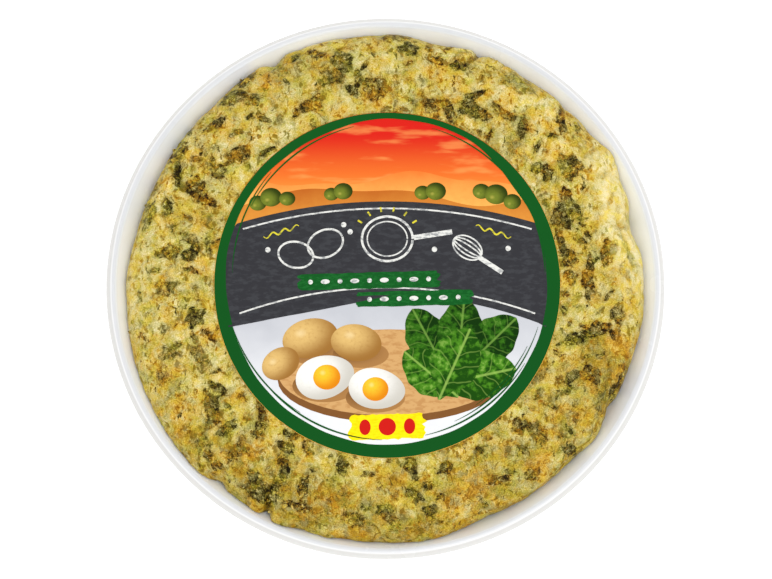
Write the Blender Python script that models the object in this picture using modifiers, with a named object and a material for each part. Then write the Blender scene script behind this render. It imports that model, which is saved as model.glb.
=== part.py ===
"""A round potato and spinach omelette on its shallow white plate, with a round card label on top.

The origin is at the centre of the plate's underside, +Z is up, and -Y is the side nearest the viewer.
"""

import math

import bpy
from mathutils import Vector, noise

# Plate: a turned shell with a foot ring, a sloped wall and a lip that rolls outwards.
PLATE_RADIUS = 0.095
PLATE_HEIGHT = 0.016
PLATE_WALL = 0.001
FOOT_HEIGHT = 0.0006
FOOT_INNER_RADIUS = 0.069
FOOT_OUTER_RADIUS = 0.073
FLOOR_RADIUS = 0.0783
COVE_RADIUS = 0.006
WALL_ANGLE = math.radians(54)
ROLL_RADIUS = 0.0005
LIP_ANGLE = math.radians(45)
PLATE_STEPS = 64
COVE_STEPS = 4
ROLL_TOP_STEPS = 5
ROLL_UNDER_STEPS = 3
TIP_STEPS = 3

# Omelette: a thick round with a crowned top, a full rounded side and a tighter lower edge.
OMELETTE_RADIUS = 0.0883
OMELETTE_THICKNESS = 0.0220
CROWN = 0.0013
WIDEST_SHARE = 0.48
SHOULDER_REACH = 0.014
UNDERCUT_REACH = 0.012
OMELETTE_STEPS = 224
TOP_RINGS = 9
SHOULDER_STEPS = 6
UNDERCUT_STEPS = 4
GAP = 0.0003
WALL_CLEARANCE = 0.0005

# Waves round the omelette's outline: waves a turn, depth, and the angle in degrees of one crest.
EDGE_WAVES = (
    (1, 0.00035, 143),
    (2, 0.00100, 58),
    (3, 0.00060, 100),
    (4, 0.00035, 20),
)

# Nicks (depth above zero) and spurs (below zero) of the outline: angle, half width in degrees, depth.
EDGE_NICKS = (
    (13.5, 7.0, 0.0023),
    (31, 7.0, -0.0023),
    (45.5, 2.6, 0.0009),
    (56, 8.0, 0.0004),
    (68.4, 2.6, 0.0014),
    (78, 9.0, 0.0014),
    (96, 7.0, 0.0006),
    (116, 3.4, 0.0022),
    (134, 10.0, 0.0006),
    (177, 9.0, -0.0006),
    (218, 12.0, -0.0010),
    (225.5, 5.0, -0.0021),
    (231, 2.8, 0.0018),
    (242.5, 8.0, -0.0015),
    (243.2, 2.0, 0.0034),
    (247, 4.0, -0.0020),
    (257.6, 2.6, -0.0006),
    (261, 5.0, 0.0004),
    (262, 26.0, -0.0011),
    (279, 12.0, -0.0015),
    (294, 9.0, 0.0007),
    (323, 7.0, -0.0015),
    (331, 3.0, 0.0010),
    (353, 8.0, -0.0005),
)
NICK_TUCK = 14

# Creases in the top, as strokes between two polar points: angle and radius twice, half width, depth.
CREASES = (
    (68.4, 0.0890, 70.5, 0.0810, 0.0013, 0.0012),
    (116.0, 0.0880, 111.0, 0.0740, 0.0014, 0.0013),
    (33.5, 0.0880, 33.0, 0.0780, 0.0013, 0.0014),
    (33.0, 0.0780, 36.5, 0.0700, 0.0013, 0.0012),
    (15.0, 0.0825, 3.0, 0.0850, 0.0012, 0.0011),
    (355.5, 0.0840, 354.5, 0.0720, 0.0012, 0.0008),
    (150.5, 0.0820, 155.0, 0.0760, 0.0013, 0.0011),
    (155.0, 0.0760, 155.5, 0.0670, 0.0013, 0.0009),
    (243.0, 0.0890, 242.0, 0.0710, 0.0015, 0.0016),
    (231.0, 0.0690, 226.0, 0.0600, 0.0013, 0.0008),
    (279.5, 0.0780, 270.5, 0.0670, 0.0012, 0.0008),
    (346.0, 0.0770, 341.0, 0.0650, 0.0014, 0.0009),
)

# Large spinach leaves lying in the surface: angle, radius, half length, half width, turn in degrees. They
# and the creases fade out where the surface is steeper than the side slope.
LEAVES = (
    (35.5, 0.0835, 0.0050, 0.0036, 80),
    (20.5, 0.0665, 0.0055, 0.0035, 20),
    (0.0, 0.0688, 0.0055, 0.0026, 95),
    (57.0, 0.0835, 0.0050, 0.0035, 150),
    (84.5, 0.0825, 0.0040, 0.0026, 175),
    (100.5, 0.0785, 0.0046, 0.0038, 190),
    (92.5, 0.0675, 0.0050, 0.0036, 180),
    (63.5, 0.0665, 0.0052, 0.0028, 150),
    (153.0, 0.0725, 0.0040, 0.0030, 60),
    (129.0, 0.0835, 0.0050, 0.0028, 210),
    (163.5, 0.0842, 0.0042, 0.0024, 255),
    (172.0, 0.0680, 0.0050, 0.0030, 240),
    (191.5, 0.0660, 0.0037, 0.0033, 100),
    (240.0, 0.0850, 0.0060, 0.0035, 330),
    (218.0, 0.0740, 0.0062, 0.0028, 310),
    (203.0, 0.0680, 0.0060, 0.0026, 295),
    (277.5, 0.0655, 0.0036, 0.0026, 95),
    (334.0, 0.0775, 0.0040, 0.0030, 70),
    (347.0, 0.0745, 0.0045, 0.0024, 75),
    (351.5, 0.0795, 0.0036, 0.0028, 60),
)
LEAF_RISE = 0.0004
LEAF_BORDER = 0.6
SIDE_SLOPE = 0.65

# Lumps of potato under the surface, and the slow unevenness of the whole top. The side has a share of them.
LUMP_SIZE = 0.0105
LUMP_GROOVE = 0.30
LUMP_RISE = 0.0006
LUMP_WARP = 0.45
SWELL_SIZE = 0.019
SWELL_RISE = 0.0006
SIDE_SHARE = 0.35
PRESSED_SHARE = 0.30
PRESS_BORDER = 0.004

# Label: a thin card that follows the crown of the omelette, round but for a little more depth than width.
LABEL_RADIUS = 0.0587
LABEL_HALF_DEPTH = 0.0605
LABEL_THICKNESS = 0.00035
LABEL_CENTRE = (0.0006, -0.0019)
LABEL_STEPS = 48
LABEL_MID_RADIUS = 0.032

FLOOR_TOP = FOOT_HEIGHT + PLATE_WALL
OMELETTE_BOTTOM = FLOOR_TOP + GAP
OMELETTE_TOP = OMELETTE_BOTTOM + OMELETTE_THICKNESS
WIDEST_HEIGHT = OMELETTE_BOTTOM + WIDEST_SHARE * OMELETTE_THICKNESS


def clear_scene():
    """Remove every object of the open file."""
    for thing in list(bpy.data.objects):
        bpy.data.objects.remove(thing, do_unlink=True)


def arc(centre, radius, start, end, steps):
    """Points of an arc in the section plane, as (radius, height) pairs."""
    points = []
    for step in range(steps + 1):
        angle = start + (end - start) * step / steps
        points.append((centre[0] + radius * math.cos(angle), centre[1] + radius * math.sin(angle)))
    return points


def plate_section():
    """Section of the plate from the middle of its floor, over the lip, to the middle of its underside."""
    up_wall = (math.cos(WALL_ANGLE), math.sin(WALL_ANGLE))
    inwards = (-up_wall[1], up_wall[0])
    roll_outer = ROLL_RADIUS + PLATE_WALL
    cove = (FLOOR_RADIUS, FLOOR_TOP + COVE_RADIUS)
    roll_height = PLATE_HEIGHT - roll_outer
    run = (roll_height - cove[1] + (COVE_RADIUS + roll_outer) * inwards[1]) / up_wall[1]
    roll = (cove[0] - (COVE_RADIUS + roll_outer) * inwards[0] + run * up_wall[0], roll_height)
    roll_start = math.pi / 2 + WALL_ANGLE
    roll_end = math.pi / 2 - LIP_ANGLE
    middle = ROLL_RADIUS + PLATE_WALL / 2
    bend_end = (roll[0] + middle * math.cos(roll_end), roll[1] + middle * math.sin(roll_end))
    lip_run = (PLATE_RADIUS - PLATE_WALL / 2 - bend_end[0]) / math.cos(LIP_ANGLE)
    tip = (bend_end[0] + lip_run * math.cos(LIP_ANGLE), bend_end[1] - lip_run * math.sin(LIP_ANGLE))

    section = [(0, FLOOR_TOP)]
    section += arc(cove, COVE_RADIUS, -math.pi / 2, -math.pi / 2 + WALL_ANGLE, COVE_STEPS)
    section += arc(roll, roll_outer, roll_start, roll_end, ROLL_TOP_STEPS)
    section += arc(tip, PLATE_WALL / 2, roll_end, roll_end - math.pi, TIP_STEPS)
    section += arc(roll, ROLL_RADIUS, roll_end, roll_start, ROLL_UNDER_STEPS)
    section += arc(cove, COVE_RADIUS + PLATE_WALL, -math.pi / 2 + WALL_ANGLE, -math.pi / 2, COVE_STEPS)
    section += [(FOOT_OUTER_RADIUS + FOOT_HEIGHT / 2, FOOT_HEIGHT), (FOOT_OUTER_RADIUS, 0)]
    section += [(FOOT_INNER_RADIUS, 0), (FOOT_INNER_RADIUS - FOOT_HEIGHT / 2, FOOT_HEIGHT)]
    section += [(0, FOOT_HEIGHT)]
    return section


def plate_wall_radius(height):
    """Radius of the plate's inner face at a height."""
    cove_top = FLOOR_TOP + COVE_RADIUS * (1 - math.cos(WALL_ANGLE))
    if height < cove_top:
        drop = FLOOR_TOP + COVE_RADIUS - height
        return FLOOR_RADIUS + math.sqrt(max(0, COVE_RADIUS ** 2 - drop ** 2))
    return FLOOR_RADIUS + COVE_RADIUS * math.sin(WALL_ANGLE) + (height - cove_top) / math.tan(WALL_ANGLE)


def omelette_section():
    """Section of the plain omelette from the middle of its top, down its side, to the middle below."""
    shoulder_radius = OMELETTE_RADIUS - SHOULDER_REACH
    shoulder_height = crown_height(shoulder_radius)
    inner_ring = LABEL_RADIUS - PRESS_BORDER / 2
    section = [(0, crown_height(0)), (LABEL_MID_RADIUS, crown_height(LABEL_MID_RADIUS))]
    for ring in range(TOP_RINGS):
        radius = inner_ring + (shoulder_radius - inner_ring) * ring / TOP_RINGS
        section.append((radius, crown_height(radius)))
    for step in range(SHOULDER_STEPS + 1):
        angle = math.pi / 2 * (1 - step / SHOULDER_STEPS)
        radius = shoulder_radius + SHOULDER_REACH * math.cos(angle)
        section.append((radius, WIDEST_HEIGHT + (shoulder_height - WIDEST_HEIGHT) * math.sin(angle)))
    for step in range(1, UNDERCUT_STEPS + 1):
        angle = math.pi / 2 * step / UNDERCUT_STEPS
        radius = OMELETTE_RADIUS - UNDERCUT_REACH + UNDERCUT_REACH * math.cos(angle)
        section.append((radius, WIDEST_HEIGHT - (WIDEST_HEIGHT - OMELETTE_BOTTOM) * math.sin(angle)))
    section.append((0, OMELETTE_BOTTOM))
    return section


def label_section():
    """Section of the label from the middle of its printed face to the middle of its back."""
    radii = (0, LABEL_MID_RADIUS, LABEL_RADIUS)
    back = [(radius, crown_height(radius) + GAP) for radius in radii]
    face = [(radius, height + LABEL_THICKNESS) for radius, height in back]
    return face + back[::-1]


def crown_height(radius):
    """Height of the omelette's smooth top at a radius."""
    return OMELETTE_TOP - CROWN * (radius / OMELETTE_RADIUS) ** 2


def smooth(value):
    """Smooth step from 0 to 1."""
    share = min(1, max(0, value))
    return share * share * (3 - 2 * share)


def polar(angle, radius):
    """Point in plan from an angle in degrees and a radius."""
    turn = math.radians(angle)
    return Vector((radius * math.cos(turn), radius * math.sin(turn)))


def edge_radius(turn):
    """Radius of the omelette's widest line at a turn in radians."""
    radius = OMELETTE_RADIUS
    for waves, depth, crest in EDGE_WAVES:
        radius += depth * math.cos(waves * (turn - math.radians(crest)))
    for angle, half_width, depth in EDGE_NICKS:
        away = (math.degrees(turn) - angle + 180) % 360 - 180
        radius -= depth * smooth(1 - abs(away) / half_width)
    return radius


def lump_relief(place):
    """Height of the potato lumps and of the slow swell at a point of the plain surface."""
    warp = noise.noise_vector(place / LUMP_SIZE) * LUMP_WARP
    nearest = noise.voronoi(place / LUMP_SIZE + warp)[0]
    lump = smooth((nearest[1] - nearest[0]) / LUMP_GROOVE) - 1
    return lump * LUMP_RISE + noise.noise(place / SWELL_SIZE) * SWELL_RISE


def crease_relief(spot):
    """Depth of the named creases at a point in plan, below zero."""
    depth = 0
    for start_angle, start_radius, end_angle, end_radius, half_width, drop in CREASES:
        start = polar(start_angle, start_radius)
        along = polar(end_angle, end_radius) - start
        share = (spot - start).dot(along) / along.length_squared
        nearest = start + along * min(1, max(0, share))
        depth -= drop * math.exp(-((spot - nearest).length / half_width) ** 2)
    return depth


def leaf_relief(spot):
    """Rise of the large leaves that lie in the surface at a point in plan."""
    rise = 0
    for angle, radius, half_length, half_width, turn in LEAVES:
        offset = spot - polar(angle, radius)
        heading = math.radians(turn)
        along = offset.x * math.cos(heading) + offset.y * math.sin(heading)
        across = offset.y * math.cos(heading) - offset.x * math.sin(heading)
        reach = math.hypot(along / half_length, across / half_width)
        rise = max(rise, smooth((1 + LEAF_BORDER / 2 - reach) / LEAF_BORDER))
    return rise * LEAF_RISE


def shape_omelette(mesh):
    """Give a turned round its uneven outline, lumps, leaves and creases, clear of plate and label."""
    centre = Vector(LABEL_CENTRE)
    normals = [vertex.normal.copy() for vertex in mesh.vertices]
    for vertex, normal in zip(mesh.vertices, normals):
        place = vertex.co.copy()
        radius = math.hypot(place.x, place.y)
        if place.z < OMELETTE_BOTTOM + GAP or radius < LABEL_MID_RADIUS / 2:
            continue
        turn = math.atan2(place.y, place.x)
        reach = radius / OMELETTE_RADIUS
        radius += (edge_radius(turn) - OMELETTE_RADIUS) * reach ** NICK_TUCK
        moved = Vector((radius * math.cos(turn), radius * math.sin(turn), place.z))
        spot = moved.xy
        upness = smooth(normal.z / SIDE_SLOPE)
        relief = lump_relief(place) * (SIDE_SHARE + (1 - SIDE_SHARE) * upness)
        relief += upness * (crease_relief(spot) + leaf_relief(spot))
        offset = spot - centre
        offset.y *= LABEL_RADIUS / LABEL_HALF_DEPTH
        to_label = offset.length - LABEL_RADIUS
        free = smooth((to_label + PRESS_BORDER) / (2 * PRESS_BORDER))
        relief *= PRESSED_SHARE + (1 - PRESSED_SHARE) * free
        if free < 1:
            relief = min(relief, free * LEAF_RISE)
        if to_label < PRESS_BORDER:
            relief = min(relief, 0)
        moved += normal * relief
        moved.z = max(moved.z, OMELETTE_BOTTOM)
        limit = plate_wall_radius(moved.z) - WALL_CLEARANCE
        if moved.z < PLATE_HEIGHT and moved.xy.length > limit:
            moved.xy = moved.xy.normalized() * limit
        vertex.co = moved


def turned(name, section, steps, collection):
    """A closed turned solid from a section whose ends lie on the axis."""
    mesh = bpy.data.meshes.new(name)
    edges = [(index, index + 1) for index in range(len(section) - 1)]
    mesh.from_pydata([(radius, 0, height) for radius, height in section], edges, [])
    solid = bpy.data.objects.new(name, mesh)
    collection.objects.link(solid)
    screw = solid.modifiers.new("turn", "SCREW")
    screw.axis = "Z"
    screw.angle = math.tau
    screw.steps = steps
    screw.render_steps = steps
    screw.use_merge_vertices = True
    screw.merge_threshold = 0.00001
    return solid


def made_real(solid):
    """Replace an object's mesh and modifiers by its evaluated mesh."""
    shaped = bpy.data.meshes.new_from_object(solid.evaluated_get(bpy.context.evaluated_depsgraph_get()))
    plain = solid.data
    solid.modifiers.clear()
    solid.data = shaped
    bpy.data.meshes.remove(plain)
    shaped.name = solid.name
    return shaped


def finish(solid, colour, roughness):
    """Shade an object smooth and give it a material of its own."""
    material = bpy.data.materials.new(solid.name + "_finish")
    material.use_nodes = True
    shader = material.node_tree.nodes["Principled BSDF"]
    shader.inputs["Base Color"].default_value = (*colour, 1)
    shader.inputs["Roughness"].default_value = roughness
    shader.inputs["Metallic"].default_value = 0
    solid.data.materials.append(material)
    solid.data.shade_smooth()


def make_plate(collection):
    """The white plate."""
    plate = turned("plate", plate_section(), PLATE_STEPS, collection)
    finish(plate, (0.84, 0.83, 0.80), 0.25)


def make_omelette(collection):
    """The omelette, egg and potato with spinach through it, in one piece."""
    omelette = turned("omelette", omelette_section(), OMELETTE_STEPS, collection)
    shape_omelette(made_real(omelette))
    finish(omelette, (0.70, 0.55, 0.17), 0.5)


def make_label(collection):
    """The card label, turned, drawn out to its depth and set a little off the axis."""
    label = turned("label", label_section(), LABEL_STEPS, collection)
    for vertex in made_real(label).vertices:
        vertex.co.y *= LABEL_HALF_DEPTH / LABEL_RADIUS
    label.location = (*LABEL_CENTRE, 0)
    finish(label, (0.01, 0.11, 0.02), 0.35)


def main():
    clear_scene()
    collection = bpy.data.collections.new("omelette_on_plate")
    bpy.context.scene.collection.children.link(collection)
    make_plate(collection)
    make_omelette(collection)
    make_label(collection)


main()
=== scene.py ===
"""Dress a potato and spinach omelette on its white plate, with the round printed card that lies on it.

All sizes are in metres, +Z is up and -Y is the side nearest the viewer. Angles in plan are in degrees,
counter-clockwise from +X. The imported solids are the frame: the fine pieces below stand in their places.
"""

import logging
import math
import random
from collections.abc import Callable, Iterator, Sequence
from contextlib import contextmanager
from dataclasses import dataclass, field
from enum import Enum

import bpy
import numpy as np
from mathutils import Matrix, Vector, noise
from mathutils.bvhtree import BVHTree


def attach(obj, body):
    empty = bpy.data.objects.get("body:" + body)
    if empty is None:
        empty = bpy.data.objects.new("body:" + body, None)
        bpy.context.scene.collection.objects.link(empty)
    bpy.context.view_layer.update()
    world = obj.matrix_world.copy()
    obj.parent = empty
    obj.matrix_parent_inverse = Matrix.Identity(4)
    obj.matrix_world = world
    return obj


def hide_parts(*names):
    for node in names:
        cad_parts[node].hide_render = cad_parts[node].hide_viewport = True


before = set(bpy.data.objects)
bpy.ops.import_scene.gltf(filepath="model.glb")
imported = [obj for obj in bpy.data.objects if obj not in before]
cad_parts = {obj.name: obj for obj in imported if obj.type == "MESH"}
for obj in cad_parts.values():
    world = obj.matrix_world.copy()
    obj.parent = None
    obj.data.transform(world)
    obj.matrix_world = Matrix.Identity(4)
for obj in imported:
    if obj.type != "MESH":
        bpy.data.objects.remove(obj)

LOG = logging.getLogger("omelette_scene")
MM = 0.001
BODY = "root"
# Vertices nearer than this are merged, and rays start at this height over everything.
SAME_PLACE = 0.002 * MM
OVER_ALL = 50 * MM
# Without a seed, noise_vector takes its offsets from the clock and the relief changes from run to run.
NOISE_SEED = 5

Point = tuple[float, float]
Colour = tuple[float, float, float]


def srgb(red: float, green: float, blue: float) -> Colour:
    """Turn a colour as seen on a screen into the linear values that shaders take.

    Args:
        red: Red from 0 to 255.
        green: Green from 0 to 255.
        blue: Blue from 0 to 255.

    Returns:
        The three linear values, from 0 to 1.
    """
    shares = (red / 255, green / 255, blue / 255)
    return tuple(s / 12.92 if s <= 0.04045 else ((s + 0.055) / 1.055) ** 2.4 for s in shares)


def smooth(value: float | np.ndarray) -> float | np.ndarray:
    """Smooth step from 0 to 1, for a number or an array."""
    share = np.clip(value, 0, 1)
    return share * share * (3 - 2 * share)


def polar(angle: float, radius: float) -> Point:
    """Point in plan from an angle in degrees and a radius."""
    turn = math.radians(angle)
    return radius * math.cos(turn), radius * math.sin(turn)


def select_only(piece: bpy.types.Object) -> None:
    """Make one object the only selected and active one."""
    bpy.ops.object.select_all(action="DESELECT")
    piece.select_set(True)
    bpy.context.view_layer.objects.active = piece


@contextmanager
def editing(piece: bpy.types.Object) -> Iterator[None]:
    """Hold one object in edit mode, with all of its mesh selected at the start.

    Args:
        piece: The object to edit.
    """
    select_only(piece)
    bpy.ops.object.mode_set(mode="EDIT")
    bpy.ops.mesh.select_all(action="SELECT")
    yield
    bpy.ops.object.mode_set(mode="OBJECT")


def apply_modifier(piece: bpy.types.Object, kind: str, **settings: object) -> None:
    """Add a modifier to a piece, set it and apply it.

    Args:
        piece: The object that is changed.
        kind: The modifier's type.
        settings: Its properties.
    """
    modifier = piece.modifiers.new(kind.lower(), kind)
    for name, value in settings.items():
        setattr(modifier, name, value)
    select_only(piece)
    bpy.ops.object.modifier_apply(modifier=modifier.name)


def set_places(mesh: bpy.types.Mesh, places: np.ndarray) -> None:
    """Write new vertex places into a mesh."""
    mesh.vertices.foreach_set("co", places.astype(np.float32).ravel())
    mesh.update()


def get_places(mesh: bpy.types.Mesh) -> np.ndarray:
    """Read a mesh's vertex places as an array of rows."""
    places = np.zeros(len(mesh.vertices) * 3, np.float32)
    mesh.vertices.foreach_get("co", places)
    return places.reshape(-1, 3).astype(float)


def set_attribute(mesh: bpy.types.Mesh, name: str, values: np.ndarray) -> None:
    """Store one number for each vertex under a name that a material can read."""
    attribute = mesh.attributes.new(name, "FLOAT", "POINT")
    attribute.data.foreach_set("value", values.astype(np.float32))


def add_object(name: str, data: bpy.types.ID) -> bpy.types.Object:
    """Put a new object with this data into the scene."""
    made = bpy.data.objects.new(name, data)
    bpy.context.scene.collection.objects.link(made)
    return made


def add_start(add: Callable[..., object], name: str, **settings: object) -> bpy.types.Object:
    """Add one of Blender's primitives as a start, with nothing else selected.

    Args:
        add: Blender's operator for the primitive.
        name: The name of the object.
        settings: The operator's settings.

    Returns:
        The new object.
    """
    bpy.ops.object.select_all(action="DESELECT")
    add(**settings)
    start = bpy.context.active_object
    start.name = start.data.name = name
    return start


def smooth_by_angle(piece: bpy.types.Object, angle: float) -> None:
    """Shade a piece smoothly, but for its edges that are sharper than an angle in degrees."""
    select_only(piece)
    bpy.ops.object.shade_smooth_by_angle(angle=math.radians(angle))


def joined(pieces: Sequence[bpy.types.Object], name: str) -> bpy.types.Object:
    """Join several objects into one.

    Args:
        pieces: The objects, at least one.
        name: The joined object's name.

    Returns:
        The joined object.
    """
    bpy.ops.object.select_all(action="DESELECT")
    for piece in pieces:
        piece.select_set(True)
    bpy.context.view_layer.objects.active = pieces[0]
    if len(pieces) > 1:
        bpy.ops.object.join()
    whole = bpy.context.view_layer.objects.active
    whole.name = name
    whole.data.name = name
    return whole


class Value:
    """An output of a shader node, with the sums and nodes that can follow it in the same tree."""

    def __init__(self, socket: bpy.types.NodeSocket) -> None:
        """Keep the output socket."""
        self.socket = socket

    def node(self, kind: str, inputs: dict[int | str, object], **settings: object) -> list["Value"]:
        """Add a node to the same tree.

        Args:
            kind: The node's type.
            inputs: What feed puts into it.
            settings: Its properties.

        Returns:
            All of its outputs.
        """
        made = self.socket.id_data.nodes.new(kind)
        for name, value in settings.items():
            setattr(made, name, value)
        feed(made, inputs)
        return [Value(socket) for socket in made.outputs]

    def maths(self, operation: str, *others: object, clamp: bool = False) -> "Value":
        """Work out one number from this one and others."""
        inputs = dict(enumerate((self, *others)))
        return self.node("ShaderNodeMath", inputs, operation=operation, use_clamp=clamp)[0]

    def __add__(self, other: object) -> "Value":
        """This number and another one together."""
        return self.maths("ADD", other)

    def __sub__(self, other: object) -> "Value":
        """This number less another one."""
        return self.maths("SUBTRACT", other)

    def __mul__(self, other: object) -> "Value":
        """This number times another one."""
        return self.maths("MULTIPLY", other)

    def __truediv__(self, other: object) -> "Value":
        """This number divided by another one."""
        return self.maths("DIVIDE", other)

    def __rtruediv__(self, other: float) -> "Value":
        """A plain number divided by this one."""
        return self.node("ShaderNodeMath", {0: other, 1: self}, operation="DIVIDE")[0]

    def __abs__(self) -> "Value":
        """This number without its sign."""
        return self.maths("ABSOLUTE")

    def swing(self, reach: float) -> "Value":
        """Turn noise about 0.5 into a number that swings about 0."""
        return self.maths("MULTIPLY_ADD", reach, -reach / 2)

    def ramp(self, low: float, high: float, start: float = 0, end: float = 1) -> "Value":
        """Map this number smoothly from one range to another, held at both ends."""
        inputs = dict(enumerate((self, low, high, start, end)))
        return self.node("ShaderNodeMapRange", inputs, interpolation_type="SMOOTHSTEP")[0]

    def mix(self, first: object, second: object, blend: str = "MIX") -> "Value":
        """Mix two colours, with this number as the share of the second one."""
        inputs = {0: self, 6: first, 7: second}
        return self.node("ShaderNodeMix", inputs, data_type="RGBA", blend_type=blend)[2]

    def blend(self, first: object, second: object) -> "Value":
        """Mix two numbers, with this one as the share of the second."""
        return self.node("ShaderNodeMix", {0: self, 2: first, 3: second}, data_type="FLOAT")[0]

    def on_scale(self, tones: Sequence[tuple[float, Colour]]) -> "Value":
        """Look this number up on a scale of tones.

        Args:
            tones: Each stop's place on the scale and its colour.

        Returns:
            The colour.
        """
        colour = self.node("ShaderNodeValToRGB", {0: self})[0]
        stops = colour.socket.node.color_ramp.elements
        for index, (position, tone) in enumerate(tones):
            stop = stops[index] if index < len(stops) else stops.new(position)
            stop.position = position
            stop.color = (*tone, 1)
        return colour

    def parts(self) -> list["Value"]:
        """The three parts of a colour or vector."""
        return self.node("ShaderNodeSeparateXYZ", {0: self})

    def attribute(self, name: str) -> "Value":
        """A number that the mesh holds for each vertex."""
        return self.node("ShaderNodeAttribute", {}, attribute_name=name)[2]

    def clouds(self, size: object, detail: float = 2, rough: float = 0.5) -> "Value":
        """Soft noise at this place, whose features are about one size across."""
        inputs = {"Vector": self, "Scale": 1 / size, "Detail": detail, "Roughness": rough}
        return self.node("ShaderNodeTexNoise", inputs)[0]

    def stretched(self, turn: float, *scale: float) -> "Value":
        """This place turned about Z and then scaled, so that what is drawn on it is long one way.

        Args:
            turn: The turn in degrees.
            scale: The factor for each axis.

        Returns:
            The new place.
        """
        inputs = {"Vector": self, "Rotation": (0, 0, math.radians(turn)), "Scale": scale}
        return self.node("ShaderNodeMapping", inputs)[0]

    def bump(self, depth: float, strength: float = 1) -> "Value":
        """Turn this height from 0 to 1 into a normal, for a relief that is so many metres deep."""
        return self.node("ShaderNodeBump", {"Strength": strength, "Distance": depth, "Height": self})[0]

    def through(self, group: bpy.types.NodeTree, **values: object) -> list["Value"]:
        """Put this place and other values through a node group."""
        return self.node("ShaderNodeGroup", {"Place": self} | values, node_tree=group)


def feed(node: bpy.types.Node, inputs: dict[int | str, object]) -> None:
    """Link a node's inputs to other nodes' outputs, or set them.

    Args:
        node: The node.
        inputs: A value, a number, a colour or a vector for each input's number or name. A node group gets
            its properties first, so that its inputs are there.
    """
    for key, given in inputs.items():
        socket = node.inputs[key]
        if isinstance(given, Value):
            node.id_data.links.new(given.socket, socket)
        elif socket.type == "RGBA":
            socket.default_value = (*given, 1)
        else:
            socket.default_value = given


def new_group(name: str, work: Callable[..., Sequence[Value]], numbers: Sequence[str],
              outputs: Sequence[str]) -> bpy.types.NodeTree:
    """Build a shader node group that takes a place and some numbers.

    Args:
        name: The group's name.
        work: Makes the outputs from the inputs.
        numbers: The names of the inputs after Place.
        outputs: The outputs' names, of which Place is a vector and all others are numbers.

    Returns:
        The group.
    """
    group = bpy.data.node_groups.new(name, "ShaderNodeTree")
    inputs = ("Place", *numbers)
    for way, labels in (("INPUT", inputs), ("OUTPUT", outputs)):
        for label in labels:
            kind = "NodeSocketVector" if label == "Place" else "NodeSocketFloat"
            group.interface.new_socket(name=label, in_out=way, socket_type=kind)
    given = group.nodes.new("NodeGroupInput")
    made = work(*(Value(given.outputs[label]) for label in inputs))
    feed(group.nodes.new("NodeGroupOutput"), dict(zip(outputs, made)))
    return group


def new_material(name: str) -> tuple[bpy.types.Material, bpy.types.Node, Value]:
    """Start a material: the material, its Principled shader and the piece's own Object coordinates."""
    material = bpy.data.materials.new(name)
    material.use_nodes = True
    nodes = material.node_tree.nodes
    return material, nodes["Principled BSDF"], Value(nodes.new("ShaderNodeTexCoord").outputs["Object"])


class Effects:
    """Node groups that more than one material or layer uses, each built once."""

    def __init__(self) -> None:
        """Build the groups."""
        self.warp = new_group("warp", self.warped, ("Size", "Reach"), ("Place",))
        self.crinkle = new_group("crinkle", self.crinkled, (), ("Value",))
        self.chips = new_group("chips", self.chipped, ("Size", "Amount", "Softness"), ("Mask", "Tone"))
        self.grain = new_group("grain", self.grained, ("Size",), ("Value",))

    @staticmethod
    def warped(place: Value, size: Value, reach: Value) -> Sequence[Value]:
        """Shift a place by soft noise, so that what is drawn on it has ragged edges."""
        cloud = place.node("ShaderNodeTexNoise", {"Vector": place, "Scale": 1 / size})[1]
        centred = cloud.node("ShaderNodeVectorMath", {0: cloud, 1: (0.5, 0.5, 0.5)}, operation="SUBTRACT")[0]
        shift = cloud.node("ShaderNodeVectorMath", {0: centred, "Scale": reach * 2}, operation="SCALE")[0]
        return place.node("ShaderNodeVectorMath", {0: place, 1: shift}, operation="ADD")[:1]

    @staticmethod
    def crinkled(place: Value) -> Sequence[Value]:
        """Folds of a cooked leaf: a value about 0.5, with painted shade in the narrow folds and painted light
        on the puckers between them.
        """
        folds = abs(place.clouds(3.2 * MM, 3).swing(2))
        narrow = abs(place.clouds(1.5 * MM).swing(2))
        puckers = folds.ramp(0, 0.26, -0.09, 0.07) + narrow.ramp(0, 0.30, -0.03, 0.03)
        uneven = place.clouds(1.3 * MM, 3, 0.6).swing(1.1) + place.clouds(3.6 * MM).swing(0.9)
        return [puckers + 0.5 + uneven]

    @staticmethod
    def chipped(place: Value, size: Value, amount: Value, softness: Value) -> Sequence[Value]:
        """Chips scattered at random, each one cell: a mask with soft edges, and a random tone for each."""
        inputs = {"Vector": place, "Scale": 1 / size}
        drawn, tone, _ = place.node("ShaderNodeTexVoronoi", inputs, feature="F1")[1].parts()
        edge = place.node("ShaderNodeTexVoronoi", inputs, feature="DISTANCE_TO_EDGE")[0]
        rim = (edge - 0.03).maths("DIVIDE", softness, clamp=True)
        return drawn.maths("LESS_THAN", amount) * rim, tone

    @staticmethod
    def grained(place: Value, size: Value) -> Sequence[Value]:
        """Fine unevenness of a surface: a value about 0.5 that wanders over two sizes."""
        return [place.clouds(size, 3) * 0.6 + place.clouds(size / 4.3, 3) * 0.4]


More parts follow.
